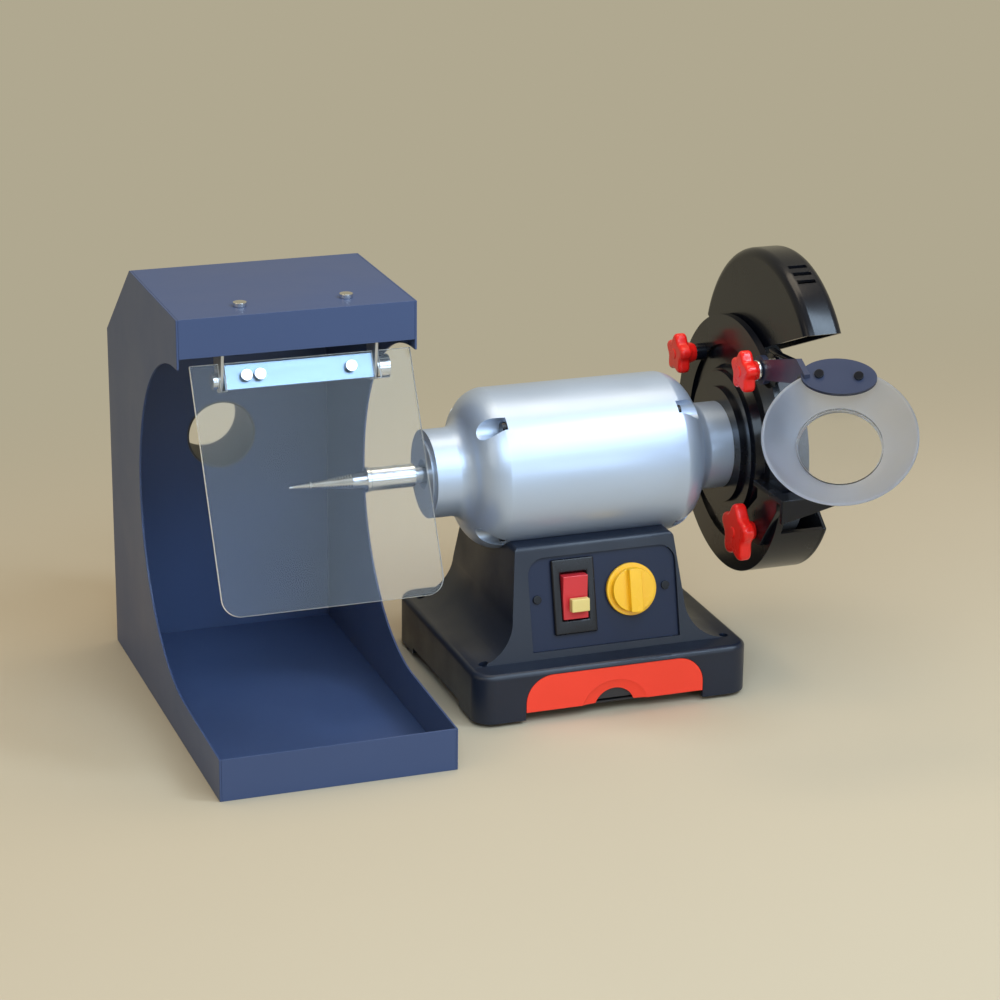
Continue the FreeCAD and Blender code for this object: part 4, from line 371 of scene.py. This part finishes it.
# %% Rounded copies of the visible solids
for node, width, material in [
    ("motor_barrel", 0.6, silver_enamel), ("left_end_bell", 0.6, silver_enamel),
    ("right_end_bell", 0.6, silver_enamel), ("bearing_cover", 0.3, silver_enamel),
    ("guard_inner", 0.8, guard_black), ("guard_outer", 0.8, guard_black),
    ("spark_guard", 0.4, guard_black), ("tool_rest", 0.6, guard_black),
    ("control_panel", 1.1, panel_black), ("panel_screws", 0.4, guard_black),
    ("switch_body", 1.2, switch_black), ("switch_rocker", 0.6, rocker_red),
    ("switch_key", 0.6, key_yellow), ("rubber_feet", 0.6, foot_rubber),
    ("drawer_tray", 0.5, tray_black), ("speed_knob", 1.4, knob_yellow),
    ("hood_wrap", 0.4, slate_enamel), ("hood_side_left", 0.4, slate_enamel),
    ("hood_side_right", 0.4, slate_enamel), ("outlet_spigot", 0.3, tube_grey),
    ("shield_bracket", 0.4, zinc), ("bracket_bolts", 0.4, nickel),
    ("pivot_bolts", 0.3, nickel), ("shield_thumb_nut", 0.5, nickel),
    ("shield_bar", 0.5, bar_metal), ("shield_screws", 0.3, nickel),
    ("lens_disc", 0.3, lens_clear), ("lens_screws", 0.3, guard_black),
    ("grinding_wheel", 0.6, grit), ("wheel_flanges", 0.4, turned_steel),
    ("wheel_nut", 0.4, nickel), ("clamp_bolts", 0.3, guard_black),
    ("eye_shield_nut", 0.4, nickel), ("guard_screws", 0.4, nickel),
    ("cable_gland", 0.5, base_black),
]:
    softened(node, width, material)

# %% [markdown]
# The clear shield is the same solid, with the pale finish on the faces of its sawn rim. The two
# broad faces lie along one line, so a face belongs to the rim when its normal leaves that line.

# %% Clear shield of the hood
shield = softened("shield_panel", 0.4, acrylic)
shield.data.materials.append(acrylic_rim)
broad = max(shield.data.polygons, key=lambda face: face.area).normal.copy()
BROAD_LIMIT = 0.97
for face in shield.data.polygons:
    if abs(face.normal.dot(broad)) < BROAD_LIMIT:
        face.material_index = 1
print("rim faces:", sum(face.material_index for face in shield.data.polygons))

# %% [markdown]
# The base is one moulding. The left edge of its sloping front asks for the widest round, but the
# short edges of the flare beside it hold the round back, so it comes out small. That edge is the
# line between the front and its neighbour, left of the panel and above the bolt boss. The panel's
# recess has its own small round, and all other edges share one.

# %% Base moulding
base = whole_faces("base_shell")
panel_low, panel_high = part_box("control_panel")
BOSS_TOP = 43 * MM
PANEL_SIDE, RECESS_REACH = 4 * MM, 1.5 * MM
LEFT_ROUND, RECESS_ROUND, EDGE_ROUND = 6.5, 1.0, 0.9


def is_front(face):
    return face.normal.y < -0.9 and 0.15 < face.normal.z < 0.35


def middle_of(edge):
    return (edge.verts[0].co + edge.verts[1].co) / 2


def borders_front(edge):
    return sum(is_front(face) for face in edge.link_faces) == 1


def at_recess(edge):
    middle = middle_of(edge)
    return all(panel_low[axis] - RECESS_REACH < middle[axis] < panel_high[axis] + RECESS_REACH
               for axis in (0, 2))


left_edges = [edge for edge in corners(base)
              if borders_front(edge) and middle_of(edge).x < panel_low.x - PANEL_SIDE
              and middle_of(edge).z > BOSS_TOP]
print("edges of the left corner:", len(left_edges))
rounded(base, LEFT_ROUND, left_edges, segments=7)
base.normal_update()
recess_edges = [edge for edge in corners(base) if borders_front(edge) and at_recess(edge)]
print("edges of the panel's recess:", len(recess_edges))
rounded(base, RECESS_ROUND, recess_edges, segments=3)
base.normal_update()
rounded(base, EDGE_ROUND)
piece("base_moulding", base, base_black, "stand", "base_shell")

# %% [markdown]
# The flip-up guard and the drawer front are cut after they are shaped. A cutter is a second mesh,
# and the Boolean modifier takes it away from the first; its result is read back, so no modifier is
# left on the piece.

# %% Helpers that cut
def cut_away(shape, cutter):
    pair = []
    for label, part in (("plate", shape), ("cutter", cutter)):
        mesh = bpy.data.meshes.new(label)
        part.to_mesh(mesh)
        part.free()
        item = bpy.data.objects.new(label, mesh)
        bpy.context.scene.collection.objects.link(item)
        pair.append(item)
    plate, tool = pair
    modifier = plate.modifiers.new("cut", "BOOLEAN")
    modifier.operation = "DIFFERENCE"
    modifier.solver = "EXACT"
    modifier.object = tool
    result = bmesh.new()
    result.from_object(plate, bpy.context.evaluated_depsgraph_get())
    for item in pair:
        mesh = item.data
        bpy.data.objects.remove(item)
        bpy.data.meshes.remove(mesh)
    return result


def block(low, high):
    shape = bmesh.new()
    bmesh.ops.create_cube(shape, size=1)
    bmesh.ops.scale(shape, vec=high - low, verts=shape.verts)
    bmesh.ops.translate(shape, vec=(low + high) / 2, verts=shape.verts)
    return shape


# %% [markdown]
# The flip-up guard is a pressed half drum with three vents. Its rim turns over into the two flat
# sides with a wide round, which carries the bright band seen in the photograph; all other edges are
# trimmed and small. A rim edge has both ends on the drum's circle and on one of its sides.

# %% Flip-up guard
DRUM_CENTRE = Vector((0, -24.1, 204.0)) * MM
DRUM_RADIUS = 95 * MM
RIM_ROUND, TRIM_ROUND = 6.5, 0.5


def on_rim(vert, side):
    around = vert.co - DRUM_CENTRE
    return abs(around.yz.length - DRUM_RADIUS) < 0.3 * MM and abs(vert.co.x - side) < 0.01 * MM


drum = whole_faces("upper_guard")
sides = [corner.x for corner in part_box("upper_guard")]
rim_edges = [edge for edge in drum.edges for side in sides
             if all(on_rim(vert, side) for vert in edge.verts)]
print("rim edges of the guard:", len(rim_edges))
rounded(drum, RIM_ROUND, rim_edges, segments=6)
rounded(drum, TRIM_ROUND, corners(drum, 50))
VENT_ANGLES = (108, 113, 118)
VENT_SIZE = Vector((13.5, 3.2, 9)) * MM  # along the axle, round the rim, into the sheet
for vent_angle in VENT_ANGLES:
    around = radians(vent_angle)
    vent = block(-VENT_SIZE / 2, VENT_SIZE / 2)
    bmesh.ops.rotate(vent, verts=vent.verts, matrix=Matrix.Rotation(around - pi / 2, 3, "X"))
    from_axle = Vector((sum(sides) / 2, DRUM_RADIUS * cos(around), DRUM_RADIUS * sin(around)))
    bmesh.ops.translate(vent, verts=vent.verts, vec=DRUM_CENTRE + from_axle)
    drum = cut_away(drum, vent)
piece("flip_guard_drum", drum, guard_black, "flip_guard", "upper_guard")

# %% [markdown]
# A star knob is a moulded hand wheel with five fingers and a short neck behind it. The star is a
# round plate whose outline is pushed in and out five times by a cosine, drawn out to its thickness
# and well rounded; the neck is a turned piece that narrows to the stud. Its front end stands a
# little before the star as the cap of the moulded-in nut.

# %% Star knobs
joint_place = {joint["name"]: Vector(joint["pos_m"]) for joint in behaviour["joints"]
               if "pos_m" in joint}
FINGERS, DENT = 5, 0.13
STAR_THICK, STAR_ROUND, CAP_TALL = 9.0 * MM, 2.6, 0.6 * MM
CLEAR_OF_STUD, WASHER_ROOM = 0.4 * MM, 2.8 * MM


def turned_part(shape, profile, steps=48):
    """Turns a profile of (along x, radius) points round the X axis."""
    verts = [shape.verts.new((x, 0, radius)) for x, radius in profile]
    edges = [shape.edges.new(pair) for pair in zip(verts, verts[1:])]
    bmesh.ops.spin(shape, geom=verts + edges, cent=(0, 0, 0), axis=(1, 0, 0), angle=2 * pi,
                   steps=steps, use_merge=True)
    bmesh.ops.remove_doubles(shape, verts=shape.verts, dist=0.001 * MM)


def star_knob(name, node, joint, body, gap=CLEAR_OF_STUD):
    low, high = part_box(node)
    middle = joint_place[joint]
    reach = high.z - middle.z
    shape = bmesh.new()
    bmesh.ops.create_circle(shape, cap_ends=True, radius=reach, segments=100)
    for vert in shape.verts:
        angle = atan2(vert.co.y, vert.co.x)
        vert.co *= 1 - DENT + DENT * cos(FINGERS * angle)
    bmesh.ops.rotate(shape, verts=shape.verts, matrix=Matrix.Rotation(-pi / 2, 3, "Y"))
    grown = bmesh.ops.extrude_face_region(shape, geom=shape.faces[:])
    moved = [item for item in grown["geom"] if isinstance(item, bmesh.types.BMVert)]
    bmesh.ops.translate(shape, verts=moved, vec=(STAR_THICK, 0, 0))
    bmesh.ops.recalc_face_normals(shape, faces=shape.faces)
    rounded(shape, STAR_ROUND, corners(shape, 60), segments=4)
    neck_end = high.x - low.x - gap
    neck = bmesh.new()
    turned_part(neck, [(-CAP_TALL, 0), (-CAP_TALL, 3.2 * MM), (0.2 * MM, 4.4 * MM),
                       (STAR_THICK / 2, 8.4 * MM), (STAR_THICK, 8.2 * MM),
                       (neck_end - 1.1 * MM, 6.6 * MM), (neck_end, 6.0 * MM), (neck_end, 0)])
    bmesh.ops.recalc_face_normals(neck, faces=neck.faces)
    joined = bpy.data.meshes.new(name + "_neck")
    neck.to_mesh(joined)
    neck.free()
    shape.from_mesh(joined)
    bpy.data.meshes.remove(joined)
    bmesh.ops.translate(shape, verts=shape.verts, vec=(low.x + CAP_TALL, middle.y, middle.z))
    piece(name, shape, knob_red, body, node)


star_knob("guard_star_knob", "guard_knob", "guard_knob_turn", "guard_star")
star_knob("eye_star_knob", "eye_shield_knob", "eye_knob_turn", "eye_star", WASHER_ROOM)
star_knob("rest_star_knob", "tool_rest_knob", "rest_knob_turn", "rest_star")

# %% [markdown]
# A nickel washer shows between the eye shield's knob and its arm. It is a turned ring with both
# outer edges broken.

# %% Washer at the eye shield's knob
knob_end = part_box("eye_shield_knob")[1].x
BORE, OUTER, BROKEN, PLAY = 3.2 * MM, 7.1 * MM, 0.5 * MM, 0.1 * MM
washer_start = PLAY - WASHER_ROOM
washer = bmesh.new()
turned_part(washer, [(washer_start, BORE), (washer_start, OUTER - BROKEN),
                     (washer_start + BROKEN, OUTER), (-PLAY - BROKEN, OUTER),
                     (-PLAY, OUTER - BROKEN), (-PLAY, BORE), (washer_start, BORE)])
bmesh.ops.recalc_face_normals(washer, faces=washer.faces)
eye_middle = joint_place["eye_knob_turn"]
bmesh.ops.translate(washer, verts=washer.verts, vec=(knob_end, eye_middle.y, eye_middle.z))
piece("eye_shield_washer", washer, nickel, "eye_star", corner=50)

# %% [markdown]
# The polishing spindle is ground and turned: a straight body with a set screw, a shoulder, and a long
# taper with a coarse thread, on which a felt cone screws itself tight. All of it is round, so one
# profile is spun. The thread is a row of rounded rings that get smaller with the taper. Lengths here
# are in millimetres from the machine's middle towards the tip.

# %% Taper spindle
spindle_low, spindle_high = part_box("taper_spindle")
HUB_BORE, BODY_R, SHOULDER_R, TAPER_R, TIP_R, POINT_R = 6.1, 8.0, 8.6, 6.6, 1.0, 0.4
body_end, taper_start, thread_start = 148.0, 151.0, 160.0
hub, tip = -spindle_high.x / MM, -spindle_low.x / MM
THREADS, THREAD_DEEP, BREAK = 22, 0.45, 0.4


def taper_at(x):
    return TAPER_R - (TAPER_R - TIP_R) * (x - body_end) / (tip - body_end)


profile = [(hub, HUB_BORE), (hub, BODY_R - BREAK), (hub + BREAK, BODY_R),
           (body_end - BREAK, BODY_R), (body_end, BODY_R - BREAK / 2),
           (body_end, SHOULDER_R - BREAK), (body_end + BREAK, SHOULDER_R),
           (taper_start - BREAK, SHOULDER_R), (taper_start, SHOULDER_R - BREAK),
           (taper_start, taper_at(taper_start) + BREAK),
           (taper_start + BREAK, taper_at(taper_start)), (thread_start, taper_at(thread_start))]
pitch = (tip - thread_start) / (THREADS + 1)
for ring in range(THREADS):
    for share in (0.25, 0.5, 0.75, 1.0):
        x = thread_start + pitch * (ring + share)
        groove = THREAD_DEEP * (1 - cos(2 * pi * share)) / 2
        profile.append((x, max(taper_at(x) - groove, POINT_R)))
profile += [(tip - 0.6, 0.9), (tip, POINT_R), (tip, 0)]
spindle = bmesh.new()
turned_part(spindle, [(-x * MM, radius * MM) for x, radius in profile], steps=64)
bmesh.ops.recalc_face_normals(spindle, faces=spindle.faces)
bmesh.ops.translate(spindle, verts=spindle.verts, vec=(0, 0, joint_place["spindle_spin"].z))
piece("polishing_spindle", spindle, turned_steel, "rotor", "taper_spindle", corner=40)

# %% [markdown]
# The eye shield's arm is a bent strap: a flat bar held by the knob, and a broad oval ear to which the
# ring is screwed. The solid has a plain round-ended ear. Here its two straight edges get points
# between their ends, and each point of the outline is drawn nearer the ear's long axis, the more the
# farther out it lies, until the outline is an oval.

# %% Oval ear of the eye shield's arm
arm = whole_faces("eye_shield_arm")
left_front_faces = [face for face in arm.faces if face.normal.x < -0.2 and face.normal.y < -0.3]
ear = max(left_front_faces, key=lambda face: face.calc_area())
out_of_ear = ear.normal.copy()
ear_points = [vert.co.copy() for vert in ear.verts]
along_ear = Vector((out_of_ear.y, -out_of_ear.x, 0)).normalized()
up_ear = out_of_ear.cross(along_ear)
ends = sorted(point.dot(along_ear) for point in ear_points)
rises = sorted(point.dot(up_ear) for point in ear_points)
ear_half, rise_half = (ends[-1] - ends[0]) / 2, (rises[-1] - rises[0]) / 2
ear_middle, rise_middle = (ends[0] + ends[-1]) / 2, (rises[0] + rises[-1]) / 2
EAR_THICK, ROUND_END, SLACK = 4.2 * MM, 6 * MM, 0.1 * MM
print("ear half sizes (mm):", round(ear_half / MM, 1), round(rise_half / MM, 1))


def in_ear(point):
    depth = (ear_points[0] - point).dot(out_of_ear)
    along = abs(point.dot(along_ear) - ear_middle)
    rise = abs(point.dot(up_ear) - rise_middle)
    near_end = along > ear_half - ROUND_END and rise > 0.05 * rise_half
    at_outline = rise > 0.5 * rise_half or near_end
    inside = along < ear_half + SLACK and rise < 1.02 * rise_half
    return -SLACK < depth < EAR_THICK and inside and at_outline


straight = [edge for edge in arm.edges
            if edge.calc_length() > ROUND_END and all(in_ear(vert.co) for vert in edge.verts)]
bmesh.ops.subdivide_edges(arm, edges=straight, cuts=15)
straight_half = ear_half - rise_half
for vert in arm.verts:
    if in_ear(vert.co):
        along = min(abs(vert.co.dot(along_ear) - ear_middle), ear_half * 0.999)
        rise = vert.co.dot(up_ear) - rise_middle
        plain = sqrt(max(rise_half ** 2 - max(along - straight_half, 0) ** 2, 1e-9))
        oval = rise_half * sqrt(1 - (along / ear_half) ** 2)
        vert.co += up_ear * rise * (min(oval / plain, 1) - 1)
bmesh.ops.dissolve_limit(arm, angle_limit=radians(0.2), verts=arm.verts, edges=arm.edges)
rounded(arm, 0.8)
piece("eye_shield_strap", arm, arm_grey, "eye_shield", "eye_shield_arm")
print("straight edges eased:", len(straight))

# %% [markdown]
# The eye shield's ring is a deep frosted dish that holds the lens at its bottom. It is turned about
# the lens's own axis, which is read from the lens: its broad face gives the direction and the middle
# of its points gives the place. The rim is rolled over. The profile runs from the collar at the lens
# out to the rim and back along the inside. Each point is in millimetres: along the axis from the
# rim, with minus towards the lens, and out from the axis.

# %% Frosted ring round the lens
lens_mesh = nodes["lens_disc"].data
lens_face = max(lens_mesh.polygons, key=lambda face: face.area * (face.normal.y < 0))
lens_axis = lens_face.normal.copy()
lens_middle = sum((vert.co for vert in lens_mesh.vertices), Vector()) / len(lens_mesh.vertices)
LENS_TO_RIM = 14.4 * MM
DISH_PROFILE = [
    (-18, 27.3), (-18, 30), (-15, 34.4), (-10, 41), (-5, 47.3), (-2, 50.4), (-0.8, 51.3), (0, 51.1),
    (0.3, 50.2), (-0.2, 49.0), (-4, 44.8), (-9, 38.0), (-13, 32), (-14.5, 28.5), (-16, 28.5),
    (-16, 27.3), (-18, 27.3)]
dish = bmesh.new()
turned_part(dish, [(along * MM, radius * MM) for along, radius in DISH_PROFILE], steps=120)
bmesh.ops.recalc_face_normals(dish, faces=dish.faces)
along_lens = lens_axis.to_track_quat("X", "Z").to_matrix().to_4x4()
to_rim = Matrix.Translation(lens_middle + lens_axis * LENS_TO_RIM)
bmesh.ops.transform(dish, matrix=to_rim @ along_lens, verts=dish.verts)
piece("frosted_dish", dish, frosted, "eye_shield", "lens_ring", corner=50)
print("lens axis:", [round(value, 3) for value in lens_axis])

# %% [markdown]
# The drawer front is a red moulded plate with two large upper corners. A thumb reaches under it
# through an arched notch, and the plate is scooped out round the notch. It is made as a maker would
# cut it: a plain plate, rounded corners, then the arch and the scoop taken away by two cutters.

# %% Drawer front
front_low, front_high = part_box("drawer_front")
plate = block(front_low, front_high)
CORNER_ROUND = 19
ARCH_RADIUS, ARCH_DROP, ARCH_LONG = 15 * MM, 5.4 * MM, 20 * MM
SCOOP_HALVES = Vector((25, 2.9, 22)) * MM
SCOOP_BEFORE = 0.5 * MM
upper_corners = [edge for edge in plate.edges
                 if all(vert.co.z > front_high.z - 1 * MM for vert in edge.verts)
                 and abs(edge.verts[0].co.x - edge.verts[1].co.x) < 0.1 * MM]
rounded(plate, CORNER_ROUND, upper_corners, segments=12)
arch = bmesh.new()
bmesh.ops.create_cone(arch, cap_ends=True, segments=48, radius1=ARCH_RADIUS, radius2=ARCH_RADIUS,
                      depth=ARCH_LONG)
bmesh.ops.rotate(arch, verts=arch.verts, matrix=Matrix.Rotation(pi / 2, 3, "X"))
bmesh.ops.translate(arch, verts=arch.verts, vec=(0, front_low.y, front_low.z - ARCH_DROP))
plate = cut_away(plate, arch)
scoop = bmesh.new()
bmesh.ops.create_uvsphere(scoop, u_segments=64, v_segments=32, radius=1)
bmesh.ops.scale(scoop, verts=scoop.verts, vec=SCOOP_HALVES)
scoop_middle = Vector((0, front_low.y - SCOOP_BEFORE, front_low.z - ARCH_DROP))
bmesh.ops.translate(scoop, verts=scoop.verts, vec=scoop_middle)
plate = cut_away(plate, scoop)
bmesh.ops.remove_doubles(plate, verts=plate.verts, dist=0.005 * MM)
piece("drawer_front_plate", plate, drawer_red, "drawer", "drawer_front", corner=28)

# %% Measure and finish
visual_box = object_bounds()


def plain(box):
    return [[float(value) for value in corner] for corner in box]


{"cad": plain(cad_box), "visual": plain(visual_box)}
print("visual box:", plain(visual_box))
